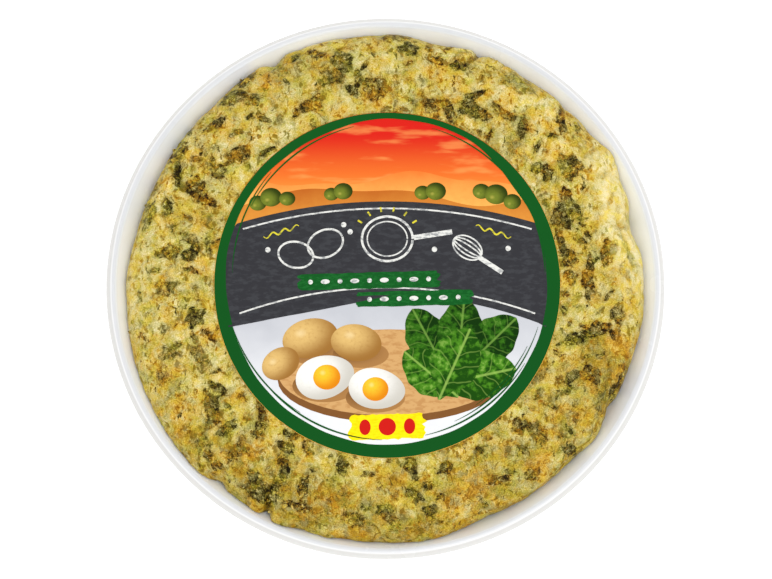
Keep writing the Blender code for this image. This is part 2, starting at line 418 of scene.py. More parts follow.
@dataclass(frozen=True)
class PlateForm:
    """Sizes of the turned plate, the same as in the solid."""

    radius: float = 95 * MM
    height: float = 16 * MM
    wall: float = 1 * MM
    foot_height: float = 0.6 * MM
    foot_inner: float = 69 * MM
    foot_outer: float = 73 * MM
    floor_radius: float = 78.3 * MM
    cove_radius: float = 6 * MM
    wall_angle: float = math.radians(54)
    roll_radius: float = 0.5 * MM
    lip_angle: float = math.radians(45)

    @property
    def floor_top(self) -> float:
        """Height of the floor's upper face."""
        return self.foot_height + self.wall

    def wall_radius(self, height: float) -> float:
        """Radius of the inner face at a height."""
        cove_top = self.floor_top + self.cove_radius * (1 - math.cos(self.wall_angle))
        if height < cove_top:
            drop = self.floor_top + self.cove_radius - height
            return self.floor_radius + math.sqrt(max(0, self.cove_radius ** 2 - drop ** 2))
        rise = (height - cove_top) / math.tan(self.wall_angle)
        return self.floor_radius + self.cove_radius * math.sin(self.wall_angle) + rise


def arc(centre: Point, radius: float, start: float, end: float, steps: int) -> list[Point]:
    """Points of an arc.

    Args:
        centre: The arc's centre.
        radius: Its radius.
        start: The first angle, in radians.
        end: The last angle, in radians.
        steps: How many straight pieces it has.

    Returns:
        The points, one more than the steps.
    """
    angles = [start + (end - start) * step / steps for step in range(steps + 1)]
    return [(centre[0] + radius * math.cos(a), centre[1] + radius * math.sin(a)) for a in angles]


@dataclass
class Plate:
    """The white plate, turned from its section with fine steps."""

    form: PlateForm
    steps: int = 256
    arc_steps: int = 12

    def section(self) -> list[Point]:
        """Section from the middle of the floor, over the lip, to the middle of the underside."""
        form = self.form
        quarter = math.pi / 2
        up_wall = (math.cos(form.wall_angle), math.sin(form.wall_angle))
        inwards = (-up_wall[1], up_wall[0])
        outer = form.roll_radius + form.wall
        cove = (form.floor_radius, form.floor_top + form.cove_radius)
        roll_height = form.height - outer
        run = (roll_height - cove[1] + (form.cove_radius + outer) * inwards[1]) / up_wall[1]
        roll = (cove[0] - (form.cove_radius + outer) * inwards[0] + run * up_wall[0], roll_height)
        roll_start = quarter + form.wall_angle
        roll_end = quarter - form.lip_angle
        middle = form.roll_radius + form.wall / 2
        bend_end = (roll[0] + middle * math.cos(roll_end), roll[1] + middle * math.sin(roll_end))
        lip_reach = form.radius - form.wall / 2
        tip = (lip_reach, bend_end[1] - (lip_reach - bend_end[0]) * math.tan(form.lip_angle))
        edge = form.foot_height / 2

        points = [(0, form.floor_top), (form.floor_radius / 2, form.floor_top)]
        points += arc(cove, form.cove_radius, -quarter, form.wall_angle - quarter, self.arc_steps)
        points += arc(roll, outer, roll_start, roll_end, self.arc_steps)
        points += arc(tip, form.wall / 2, roll_end, roll_end - math.pi, self.arc_steps)
        points += arc(roll, form.roll_radius, roll_end, roll_start, self.arc_steps)
        points += arc(cove, form.cove_radius + form.wall, form.wall_angle - quarter, -quarter, self.arc_steps)
        points += arc((form.foot_outer - edge, edge), edge, 0, -quarter, 3)
        points += arc((form.foot_inner + edge, edge), edge, -quarter, -math.pi, 3)
        points += [(form.foot_inner, form.foot_height), (0, form.foot_height)]
        outer_foot = points.index(next(p for p in points if p[0] == form.foot_outer and p[1] == edge))
        points.insert(outer_foot, (form.foot_outer, form.foot_height))
        return points

    def build(self) -> bpy.types.Object:
        """Spin the section into the plate's closed mesh.

        Returns:
            The plate.
        """
        points = self.section()
        mesh = bpy.data.meshes.new("plate_shell")
        mesh.from_pydata([(r, 0, z) for r, z in points], [(i, i + 1) for i in range(len(points) - 1)], [])
        plate = add_object("plate_shell", mesh)
        with editing(plate):
            bpy.ops.mesh.spin(steps=self.steps, angle=math.tau, center=(0, 0, 0), axis=(0, 0, 1))
            bpy.ops.mesh.select_all(action="SELECT")
            bpy.ops.mesh.remove_doubles(threshold=SAME_PLACE)
            bpy.ops.mesh.normals_make_consistent(inside=False)
        # How far each face turns up: the plastic paints faces that turn down darker, as painted shade.
        normals = np.array([normal.vector.z for normal in plate.data.vertex_normals])
        set_attribute(plate.data, "inside", smooth(0.5 + 2 * normals))
        smooth_by_angle(plate, 50)
        return plate


@dataclass(frozen=True)
class PlasticFinish:
    """Smooth white moulded plastic, a little warm, thin enough to let light through, with painted light in
    its tones.
    """

    # Tones from the wall out to the lip: the whitest low on the wall is painted light against the shade the
    # omelette casts there, and the bright stop at 0.82 is a painted highlight along the rim's crest.
    tones: tuple[tuple[float, Colour], ...] = (
        (0.28, srgb(245, 248, 255)), (0.42, srgb(231, 234, 239)), (0.52, srgb(216, 218, 221)),
        (0.74, srgb(216, 217, 219)), (0.82, srgb(237, 237, 237)), (0.90, srgb(213, 212, 209)),
        (1.0, srgb(215, 214, 211)))
    # The darker tone of faces that turn down: painted shade.
    underside_shade: Colour = srgb(226, 226, 228)
    wall_from: float = 89 * MM
    lip_to: float = 95 * MM
    roughness: tuple[float, float] = (0.18, 0.28)
    broad_grain: float = 28 * MM
    fine_grain: float = 1.3 * MM
    relief: float = 0.01 * MM

    def material(self, effects: Effects) -> bpy.types.Material:
        """Make the plastic.

        Args:
            effects: The shared node groups.

        Returns:
            The material.
        """
        material, skin, place = new_material("white_plastic")
        east, north, _ = place.parts()
        radius = (east * east + north * north).maths("SQRT")
        broad = place.through(effects.grain, Size=self.broad_grain)[0]
        fine = place.through(effects.grain, Size=self.fine_grain)[0]
        inside = radius.ramp(self.wall_from, self.lip_to).on_scale(self.tones)
        # Faces that turn down take the painted shade tone, all others the tones with painted light and the
        # painted crest highlight.
        feed(skin, {
            "Base Color": place.attribute("inside").mix(self.underside_shade, inside),
            "Roughness": broad.ramp(0.3, 0.7, *self.roughness), "Normal": fine.bump(self.relief, 0.5),
            "Coat Weight": 0.2, "Coat Roughness": 0.08, "IOR": 1.49, "Subsurface Weight": 0.4,
            "Subsurface Radius": (1, 1, 1), "Subsurface Scale": 1.6 * MM})
        return material


class Leaf:
    """One bit of spinach: an uneven oval in plan, on the surface or under a veil of egg."""

    WAVES = 5

    def __init__(self, centre: Point, half_length: float, half_width: float, heading: float, veil: float,
                 seed: int) -> None:
        """Settle the leaf's place and its own uneven outline.

        Args:
            centre: Its middle in plan.
            half_length: Half of its length.
            half_width: Half of its width.
            heading: The angle in plan of its length, in degrees.
            veil: How much egg covers it, from 0, bare, to 1.
            seed: What makes its outline its own.
        """
        self.centre = centre
        self.half_length = half_length
        self.half_width = half_width
        self.heading = math.radians(heading)
        self.veil = veil
        draw = random.Random(seed)
        self.waves = [(k, draw.uniform(0.05, 0.30) / k ** 0.5, draw.uniform(0, math.tau))
                      for k in range(2, 2 + self.WAVES)]
        self.lift = draw.uniform(0.05, 0.35) * MM
        self.lift_side = draw.uniform(0, math.tau)
        self.crinkle = draw.uniform(0, 100)
        self.hue = draw.uniform(0, 1)

    def rim(self, bearing: np.ndarray) -> np.ndarray:
        """How far the outline reaches at a bearing, as a share of the plain oval."""
        reach = np.ones_like(bearing)
        for count, depth, start in self.waves:
            reach = reach + depth * np.cos(count * bearing + start)
        return np.maximum(reach, 0.35)

    def inside(self, spots: np.ndarray) -> np.ndarray:
        """Rough distance in millimetres from each spot to the outline, above zero inside it.

        Args:
            spots: Rows of x and y.

        Returns:
            One distance for each row.
        """
        offset = spots - np.array(self.centre)
        along = offset[:, 0] * math.cos(self.heading) + offset[:, 1] * math.sin(self.heading)
        across = offset[:, 1] * math.cos(self.heading) - offset[:, 0] * math.sin(self.heading)
        reach = np.hypot(along / self.half_length, across / self.half_width)
        bearing = np.arctan2(across / self.half_width, along / self.half_length)
        return (self.rim(bearing) - reach) * min(self.half_length, self.half_width) / MM


# Leaves that stand out in the photograph: angle, radius, half length, half width, heading and veil. Angles
# are in degrees and lengths in millimetres, here and in the tables below.
STANDING_OUT = (
    (57, 83.5, 5, 3.5, 130, 0.6), (55.5, 71.2, 4, 1.2, 145, 0.2), (60.5, 66.8, 2.4, 1.7, 150, 0),
    (48.5, 70.5, 4, 1.3, 80, 0.3), (43.5, 83, 4.2, 1.4, 94, 0.2), (36, 84, 4.4, 3.4, 60, 0.55),
    (32.3, 76.5, 2.8, 1.9, 122, 0.05), (32.5, 73, 4.4, 2.2, 122, 0.3), (46.5, 65, 4.2, 3.2, 106, 0.65),
    (34.5, 66.8, 2.8, 1.7, 104, 0.1), (25.5, 68, 2.6, 1.5, 115, 0.15), (21, 67.5, 4.6, 2.6, 130, 0.15),
    (19.3, 63, 3.8, 2.4, 109, 0), (13.5, 60.8, 4.6, 0.9, 103, 0.1), (7, 63.2, 2.3, 1.8, 97, 0.2),
    (0, 68.8, 5.5, 1.9, 88, 0), (7.2, 76.3, 4.6, 2.2, 77, 0.15), (2.2, 81.5, 2.4, 1.7, 92, 0.25),
    (7.5, 83.4, 4.6, 0.8, 116, 0.25), (0.5, 62.8, 2.2, 2, 90, 0.25), (351.5, 79.5, 2.8, 2, 60, 0.2),
    (346.8, 74, 3.8, 1.8, 357, 0), (343, 69, 5.6, 1.9, 23, 0.15), (334.5, 77, 3, 2.8, 334, 0.05),
    (333, 81.8, 2.4, 1.7, 63, 0.45), (331.8, 71.6, 2, 1.6, 30, 0), (335, 86, 2.6, 0.8, 65, 0.05),
    (317, 85.3, 2, 1.3, 347, 0.1), (314, 74, 3.6, 2.6, 314, 0.4), (311.6, 68.4, 2.7, 2.2, 50, 0.15),
    (326.5, 62, 4.8, 1.1, 57, 0.5), (306.5, 83, 2.4, 1.7, 37, 0.35), (298.4, 79, 3.3, 1.1, 13, 0),
    (287, 68.6, 2.3, 1.6, 17, 0.1), (280.5, 81.2, 2.2, 1.3, 10, 0.05), (277.2, 75.2, 2.8, 1.5, 327, 0.15),
    (277.5, 65.8, 3.3, 1.9, 287, 0.25), (271, 82.5, 2.8, 1.3, 332, 0.3), (269.5, 79.6, 2.4, 1.3, 0, 0.15),
    (262.5, 83.2, 3.6, 1.6, 350, 0.4), (257.4, 66.5, 2.6, 2, 257, 0.1), (249.3, 78, 3.6, 1.4, 269, 0.15),
    (249.5, 83.9, 3, 1, 340, 0), (243.2, 75.6, 3, 1.2, 262, 0), (241.3, 72, 2.4, 1.2, 292, 0),
    (242.7, 79.6, 3.2, 1.2, 238, 0.1), (239.8, 76.5, 3.6, 1.6, 262, 0.6), (240.2, 67.4, 3.2, 1.4, 330, 0.15),
    (239.5, 85.5, 4.4, 1.9, 330, 0), (237.5, 82, 3.2, 2, 310, 0.1), (229.8, 78.5, 2.8, 1.6, 240, 0.3),
    (230.8, 67, 2.8, 1.5, 240, 0.15), (228, 62.5, 3.6, 1.4, 283, 0.2), (226.8, 85.3, 3.4, 1.4, 310, 0.25),
    (224.3, 74.3, 3, 2, 234, 0.2), (217.8, 73.6, 5.6, 2.4, 288, 0.3), (214, 69, 3, 2, 300, 0.2),
    (203, 68.3, 5.6, 2, 290, 0.45), (203.4, 82.4, 2.6, 2, 300, 0.4), (199.4, 78, 2.6, 2.2, 200, 0.4),
    (191.5, 65.8, 3.4, 2.7, 240, 0), (182.2, 75, 3.2, 2.2, 182, 0.4), (172.6, 74.3, 3.6, 2.2, 202, 0.3),
    (172, 66.6, 3.2, 1.8, 237, 0.1), (163.8, 84.2, 4.4, 1.8, 254, 0.3), (161.2, 78.4, 2.6, 1.4, 281, 0.05),
    (153.2, 72.6, 3.2, 2.6, 60, 0.1), (155.3, 67.3, 2.8, 1.5, 155, 0.05), (151.8, 80.8, 3.6, 1, 272, 0.05),
    (147.4, 84.2, 2.9, 1.9, 217, 0.15), (136.8, 80.1, 3.4, 1.2, 217, 0.05), (129.2, 83.8, 3.6, 2.2, 215, 0.3),
    (125.4, 77.9, 2.2, 1.7, 245, 0), (123.6, 86.5, 3.4, 1.8, 213, 0.25), (146.4, 68.4, 2.6, 1.7, 176, 0.05),
    (139, 66.6, 4.6, 2.4, 209, 0.3), (106.2, 83.8, 2.6, 1.4, 156, 0.1), (100.8, 78.8, 4.2, 3.2, 150, 0.25),
    (97.5, 71.6, 2.5, 1.2, 95, 0.05), (104, 73.8, 3.8, 2.4, 170, 0.4), (112.2, 66.6, 4, 1.9, 200, 0.1),
    (92.6, 67.4, 4.6, 3.2, 180, 0.3), (84.5, 82.6, 3.4, 2.2, 175, 0.1), (88, 87.2, 3.6, 1.4, 178, 0.35),
    (77.6, 79.8, 2.4, 1.2, 160, 0), (71.7, 79.6, 2.3, 1.4, 162, 0.05), (65, 71.6, 2.6, 1.2, 205, 0),
    (63.6, 66.6, 4.4, 2.2, 155, 0.1), (69.8, 63, 3.8, 1.5, 120, 0.1), (75.8, 63.4, 2.9, 2.2, 166, 0.25),
)


@dataclass
class Spinach:
    """All the leaves: those that stand out, and small ones drawn at random between them."""

    seed: int = 41
    small_count: int = 200
    inner_radius: float = 57.5 * MM
    outer_radius: float = 87.5 * MM
    half_length: tuple[float, float] = (0.7 * MM, 2.7 * MM)
    slimness: tuple[float, float] = (0.28, 0.72)
    spacing: float = 0.8
    leaves: list[Leaf] = field(default_factory=list)

    def __post_init__(self) -> None:
        """Lay out every leaf."""
        for number, (angle, radius, half_length, half_width, heading, veil) in enumerate(STANDING_OUT):
            centre = polar(angle, radius * MM)
            self.leaves.append(Leaf(centre, half_length * MM, half_width * MM, heading, veil, number))
        self.scatter()

    def scatter(self) -> None:
        """Draw the small leaves, each clear of those before it."""
        draw = random.Random(self.seed)
        wanted = len(self.leaves) + self.small_count
        tries = 0
        while len(self.leaves) < wanted and tries < 40 * self.small_count:
            tries += 1
            radius = math.sqrt(draw.uniform(self.inner_radius ** 2, self.outer_radius ** 2))
            centre = polar(draw.uniform(0, 360), radius)
            half_length = draw.triangular(*self.half_length, self.half_length[0])
            half_width = half_length * draw.uniform(*self.slimness)
            if any(math.dist(centre, leaf.centre) < self.spacing * (leaf.half_length + half_length)
                   for leaf in self.leaves):
                continue
            veil = draw.choice((0.05, 0.3, 0.4, 0.5, 0.6, 0.7, 0.8))
            self.leaves.append(Leaf(centre, half_length, half_width, draw.uniform(0, 180), veil, 500 + tries))


# Nicks (depth above zero) and spurs (below zero) of the outline: angle, half width in degrees, depth.
EDGE_NICKS = (
    (13.5, 7, 2.3), (31, 7, -2.3), (45.5, 2.6, 0.9), (56, 8, 0.4), (68.4, 2.6, 1.4),
    (78, 9, 1.4), (96, 7, 0.6), (116, 3.4, 2.2), (134, 10, 0.6), (177, 9, -0.6),
    (218, 12, -1), (225.5, 5, -2.1), (231, 2.8, 1.8), (242.5, 8, -1.5), (243.2, 2, 3.4),
    (247, 4, -2), (257.6, 2.6, -0.6), (261, 5, 0.4), (262, 26, -1.1), (279, 12, -1.5),
    (294, 9, 0.7), (323, 7, -1.5), (331, 3, 1), (353, 8, -0.5),
)
# Waves round the outline: waves a turn, depth, and the angle of one crest.
EDGE_WAVES = ((1, 0.35, 143), (2, 1.0, 58), (3, 0.6, 100), (4, 0.35, 20))
# Creases as strokes between two polar points: angle and radius twice, half width, depth.
CREASES = (
    (68.4, 89, 70.5, 81, 1.3, 1.2), (116, 88, 113.5, 79, 1.4, 0.9), (33.5, 88, 33, 80, 1.3, 0.8),
    (33, 77, 36.5, 70, 1.2, 0.8), (15, 82.5, 3, 85, 1.2, 1.1), (355.5, 84, 354.5, 72, 1.2, 0.8),
    (150.5, 82, 155, 76, 1.3, 1.1), (155, 76, 155.5, 67, 1.3, 0.9), (243, 89, 241.6, 82, 1.3, 1.5),
    (231, 69, 226, 60, 1.3, 0.8), (279.5, 78, 270.5, 67, 1.2, 0.8), (346, 77, 341, 65, 1.4, 0.9),
)
# Toasted patches: angle, radius and reach.
TOASTED = (
    (57, 76, 7), (47, 77, 6), (38, 72, 6), (26, 76, 5), (0, 61, 5), (136, 75, 7), (120, 83, 5),
    (105, 62, 5), (93, 62, 5), (69, 72, 6), (77, 75, 6), (155, 82, 5), (197, 62, 6), (234, 74, 6),
    (293, 78, 7), (288, 82, 7), (258, 80, 6), (344, 83, 6), (309, 84, 6), (212, 84, 6), (175, 64, 5),
)


@dataclass
class Omelette:
    """The omelette's fine surface, with the same form as its solid and with all its small relief."""

    plate: PlateForm
    spinach: Spinach
    radius: float = 88.3 * MM
    thickness: float = 22 * MM
    crown: float = 1.3 * MM
    widest_share: float = 0.48
    shoulder_reach: float = 14 * MM
    undercut_reach: float = 12 * MM
    gap: float = 0.3 * MM
    wall_clearance: float = 0.5 * MM
    nick_tuck: float = 14
    label_radius: float = 58.7 * MM
    label_half_depth: float = 60.5 * MM
    label_centre: Point = (0.6 * MM, -1.9 * MM)
    press_border: float = 4 * MM
    pressed_share: float = 0.30
    label_touch: float = 0.12 * MM
    lump_size: float = 10.5 * MM
    lump_groove: float = 0.30
    lump_rise: float = 0.6 * MM
    lump_tilt: float = 0.5 * MM
    side_share: float = 0.35
    lump_warp: float = 0.45
    swell_size: float = 19 * MM
    swell_rise: float = 0.6 * MM
    side_slope: float = 0.65
    leaf_rise: float = 0.25 * MM
    turn_steps: int = 800
    hidden_rows: int = 10
    top_rows: int = 36
    shoulder_rows: int = 34
    undercut_rows: int = 14
    below_rows: int = 3

    @property
    def bottom(self) -> float:
        """Height of the omelette's underside."""
        return self.plate.floor_top + self.gap

    @property
    def top(self) -> float:
        """Height of the middle of its top."""
        return self.bottom + self.thickness

    @property
    def label_stretch(self) -> np.ndarray:
        """How much longer than round the label is, along X and Y."""
        return np.array((1, self.label_half_depth / self.label_radius))

    def crown_height(self, radius: float) -> float:
        """Height of the smooth top at a radius."""
        return self.top - self.crown * (radius / self.radius) ** 2

    def section(self) -> np.ndarray:
        """Rows of radius and height, from the middle of the top to the middle of the underside."""
        widest = self.bottom + self.widest_share * self.thickness
        shoulder = self.radius - self.shoulder_reach
        shoulder_height = self.crown_height(shoulder)
        pressed = self.label_radius - self.press_border
        quarter = math.pi / 2
        radii = list(np.linspace(0, pressed, self.hidden_rows, endpoint=False))
        radii += list(np.linspace(pressed, shoulder, self.top_rows, endpoint=False))
        rows = [(radius, self.crown_height(radius)) for radius in radii]
        for angle in np.linspace(quarter, 0, self.shoulder_rows, endpoint=False):
            rows.append((shoulder + self.shoulder_reach * math.cos(angle),
                         widest + (shoulder_height - widest) * math.sin(angle)))
        for angle in np.linspace(0, quarter, self.undercut_rows):
            rows.append((self.radius - self.undercut_reach * (1 - math.cos(angle)),
                         widest - (widest - self.bottom) * math.sin(angle)))
        inner = self.radius - self.undercut_reach
        rows += [(radius, self.bottom) for radius in np.linspace(inner, 0, self.below_rows + 1)[1:]]
        return np.array(rows)

    def edge_radius(self, turns: np.ndarray) -> np.ndarray:
        """Radius of the widest line at turns in radians."""
        radius = np.full_like(turns, self.radius)
        for waves, depth, crest in EDGE_WAVES:
            radius += depth * MM * np.cos(waves * (turns - math.radians(crest)))
        for angle, half_width, depth in EDGE_NICKS:
            away = (np.degrees(turns) - angle + 180) % 360 - 180
            radius -= depth * MM * smooth(1 - np.abs(away) / half_width)
        return radius

    @staticmethod
    def crease_field(spots: np.ndarray) -> np.ndarray:
        """Depth of the named creases at spots in plan, above zero."""
        depth = np.zeros(len(spots))
        for start_angle, start_radius, end_angle, end_radius, half_width, drop in CREASES:
            start = np.array(polar(start_angle, start_radius * MM))
            along = np.array(polar(end_angle, end_radius * MM)) - start
            share = np.clip((spots - start) @ along / (along @ along), 0, 1)
            away = np.linalg.norm(spots - start - share[:, None] * along, axis=1)
            depth += drop * MM * np.exp(-(away / (half_width * MM)) ** 2)
        return depth

    def lumps(self, place: Vector) -> tuple[float, float, float]:
        """Potato lumps and slow swell at a point of the plain surface.

        Args:
            place: The point.

        Returns:
            The relief, a random number of the lump, and how near its border is, from 0 to 1.
        """
        warp = noise.noise_vector(place / self.lump_size) * self.lump_warp
        spot = place / self.lump_size + warp
        distances, middles = noise.voronoi(spot)
        gap = distances[1] - distances[0]
        relief = (smooth(gap / self.lump_groove) - 1) * self.lump_rise
        relief += noise.noise(place / self.swell_size) * self.swell_rise
        own = noise.cell_vector(middles[0] * 7.3)
        tilt = (own - Vector((0.5, 0.5, 0.5))).dot(spot - middles[0])
        return relief + tilt * self.lump_tilt, own.x, 1 - min(1, gap / 0.16)

    @staticmethod
    def fine_relief(place: Vector) -> tuple[float, float]:
        """Curds, grain and pores that are too fine for the solid: the relief and how porous the spot is."""
        warped = place + noise.noise_vector(place / (3.1 * MM)) * 0.9 * MM
        curds = (0.5 - abs(noise.noise(warped / (3.4 * MM)))) * 0.20 * MM
        curds += noise.noise(warped / (1.5 * MM)) * 0.10 * MM
        distances, middles = noise.voronoi(place / (3.6 * MM))
        pore = 0.0
        if noise.cell(middles[0] * 5.1) > 0.55:
            pore = float(smooth(1 - distances[0] / 0.22))
        return curds - pore * 0.30 * MM, pore

    def leaf_fields(self, spots: np.ndarray) -> tuple[np.ndarray, np.ndarray, np.ndarray]:
        """Find the leaf that reaches furthest over each spot.

        Args:
            spots: Rows of x and y.

        Returns:
            The signed distance in millimetres to its outline, above zero inside it, how bare it lies, and
            its hue.
        """
        inside = np.full(len(spots), -4.0)
        bare = np.zeros(len(spots))
        hue = np.full(len(spots), 0.5)
        for leaf in self.spinach.leaves:
            near = np.flatnonzero(np.abs(spots - np.array(leaf.centre)).max(1) < 2.6 * leaf.half_length)
            reach = leaf.inside(spots[near])
            nearer = reach > inside[near]
            inside[near[nearer]] = reach[nearer]
            bare[near[nearer]] = 1 - leaf.veil
            hue[near[nearer]] = leaf.hue
        return inside, bare, hue

    def build(self) -> bpy.types.Object:
        """Wrap a grid round the section and give it its relief and its masks.

        Returns:
            The omelette.
        """
        section = self.section()
        last = len(section) - 1
        omelette = add_start(bpy.ops.mesh.primitive_grid_add, "omelette_surface",
                             x_subdivisions=self.turn_steps, y_subdivisions=last, size=1)
        grid = get_places(omelette.data)
        turns = (grid[:, 0] + 0.5) * math.tau
        rows = np.rint((grid[:, 1] + 0.5) * last).astype(int)
        tangents = np.gradient(section, axis=0)
        tangents /= np.linalg.norm(tangents, axis=1)[:, None]
        radii, heights = section[rows].T
        rise, out = tangents[rows].T
        heading = np.stack([np.cos(turns), np.sin(turns)], 1)
        normals = np.concatenate([heading * -out[:, None], rise[:, None]], 1)
        plain = np.concatenate([heading * radii[:, None], heights[:, None]], 1)
        set_places(omelette.data, self.shaped(omelette.data, plain, normals, turns))
        with editing(omelette):
            bpy.ops.mesh.remove_doubles(threshold=SAME_PLACE)
            bpy.ops.mesh.normals_make_consistent(inside=False)
        omelette.data.shade_smooth()
        return omelette

    def shaped(self, mesh: bpy.types.Mesh, plain: np.ndarray, normals: np.ndarray,
               turns: np.ndarray) -> np.ndarray:
        """Move the plain surface to its true form, and store the masks that its material reads.

        Args:
            mesh: The mesh that takes the masks.
            plain: Places on the plain turned surface.
            normals: The plain surface's normals.
            turns: Each place's turn in radians.

        Returns:
            The moved places.
        """
        radii = np.linalg.norm(plain[:, :2], axis=1)
        reach = radii / self.radius
        moved_radii = radii + (self.edge_radius(turns) - self.radius) * reach ** self.nick_tuck
        spots = np.stack([moved_radii * np.cos(turns), moved_radii * np.sin(turns)], 1)
        count = len(plain)
        relief, lump_tone, border, pore = (np.zeros(count) for _ in range(4))
        beside_label = radii > self.label_radius - 2 * self.press_border
        for index in np.flatnonzero(beside_label & (plain[:, 2] > self.bottom + MM)):
            place = Vector(plain[index])
            relief[index], lump_tone[index], border[index] = self.lumps(place)
            fine, pore[index] = self.fine_relief(place)
            relief[index] += fine
        upness = smooth(normals[:, 2] / self.side_slope)
        masks = self.masks(spots)
        relief *= self.side_share + (1 - self.side_share) * upness
        relief -= masks["crease"] * MM * upness
        relief += self.leaf_rise * smooth((masks["leaf"] + 0.5) / 0.8) * masks["bare"] * upness

        offset = (spots - np.array(self.label_centre)) / self.label_stretch
        to_label = np.linalg.norm(offset, axis=1) - self.label_radius
        free = smooth((to_label + self.press_border) / (2 * self.press_border))
        relief *= self.pressed_share + (1 - self.pressed_share) * free
        relief = np.where(to_label < self.press_border, np.minimum(relief, self.label_touch), relief)

        places = np.concatenate([spots, plain[:, 2:]], 1) + normals * relief[:, None]
        self.keep_clear(places)
        masks |= {"lump": lump_tone, "border": border, "pore": pore}
        for name, values in masks.items():
            set_attribute(mesh, name, values)
        return places

    def masks(self, spots: np.ndarray) -> dict[str, np.ndarray]:
        """All that the food's material reads and that depends on the place in plan alone.

        Args:
            spots: Rows of x and y.

        Returns:
            Each attribute's name and its values.
        """
        leaf, bare, hue = self.leaf_fields(spots)
        turns = np.arctan2(spots[:, 1], spots[:, 0])
        radii = np.linalg.norm(spots, axis=1) / MM
        pale, dull = np.zeros(len(spots)), np.zeros(len(spots))
        # Painted light and shade on the outer shoulder: pale lightens some sides and dull darkens others,
        # each by its direction in plan.
        for tones, angle, power, share in ((pale, 14, 6, 1.0), (pale, 183, 16, 0.7), (dull, 262, 2, 1.0),
                                           (dull, 338, 30, 1.1), (dull, 126, 30, 0.5)):
            tones += np.clip(np.cos(turns - math.radians(angle)), 0, 1) ** power * share
        pale *= smooth((radii - 68) / 14)
        dull *= smooth((radii - 64) / 16)
        return {"leaf": leaf, "bare": bare, "hue": hue, "crease": self.crease_field(spots) / MM,
                "toast": self.toast_field(spots), "pale": pale, "dull": dull}

    @staticmethod
    def toast_field(spots: np.ndarray) -> np.ndarray:
        """How toasted the top is, from 0 to 1."""
        toast = np.zeros(len(spots))
        for angle, radius, reach in TOASTED:
            away = np.linalg.norm(spots - np.array(polar(angle, radius * MM)), axis=1)
            toast = np.maximum(toast, np.exp(-(away / (0.8 * reach * MM)) ** 2))
        return toast

    def keep_clear(self, places: np.ndarray) -> None:
        """Keep the surface above the plate's floor and inside its wall."""
        places[:, 2] = np.maximum(places[:, 2], self.bottom)
        spread = np.linalg.norm(places[:, :2], axis=1)
        for index in np.flatnonzero((places[:, 2] < self.plate.height) & (spread > self.plate.floor_radius)):
            limit = self.plate.wall_radius(places[index, 2]) - self.wall_clearance
            if spread[index] > limit:
                places[index, :2] *= limit / spread[index]


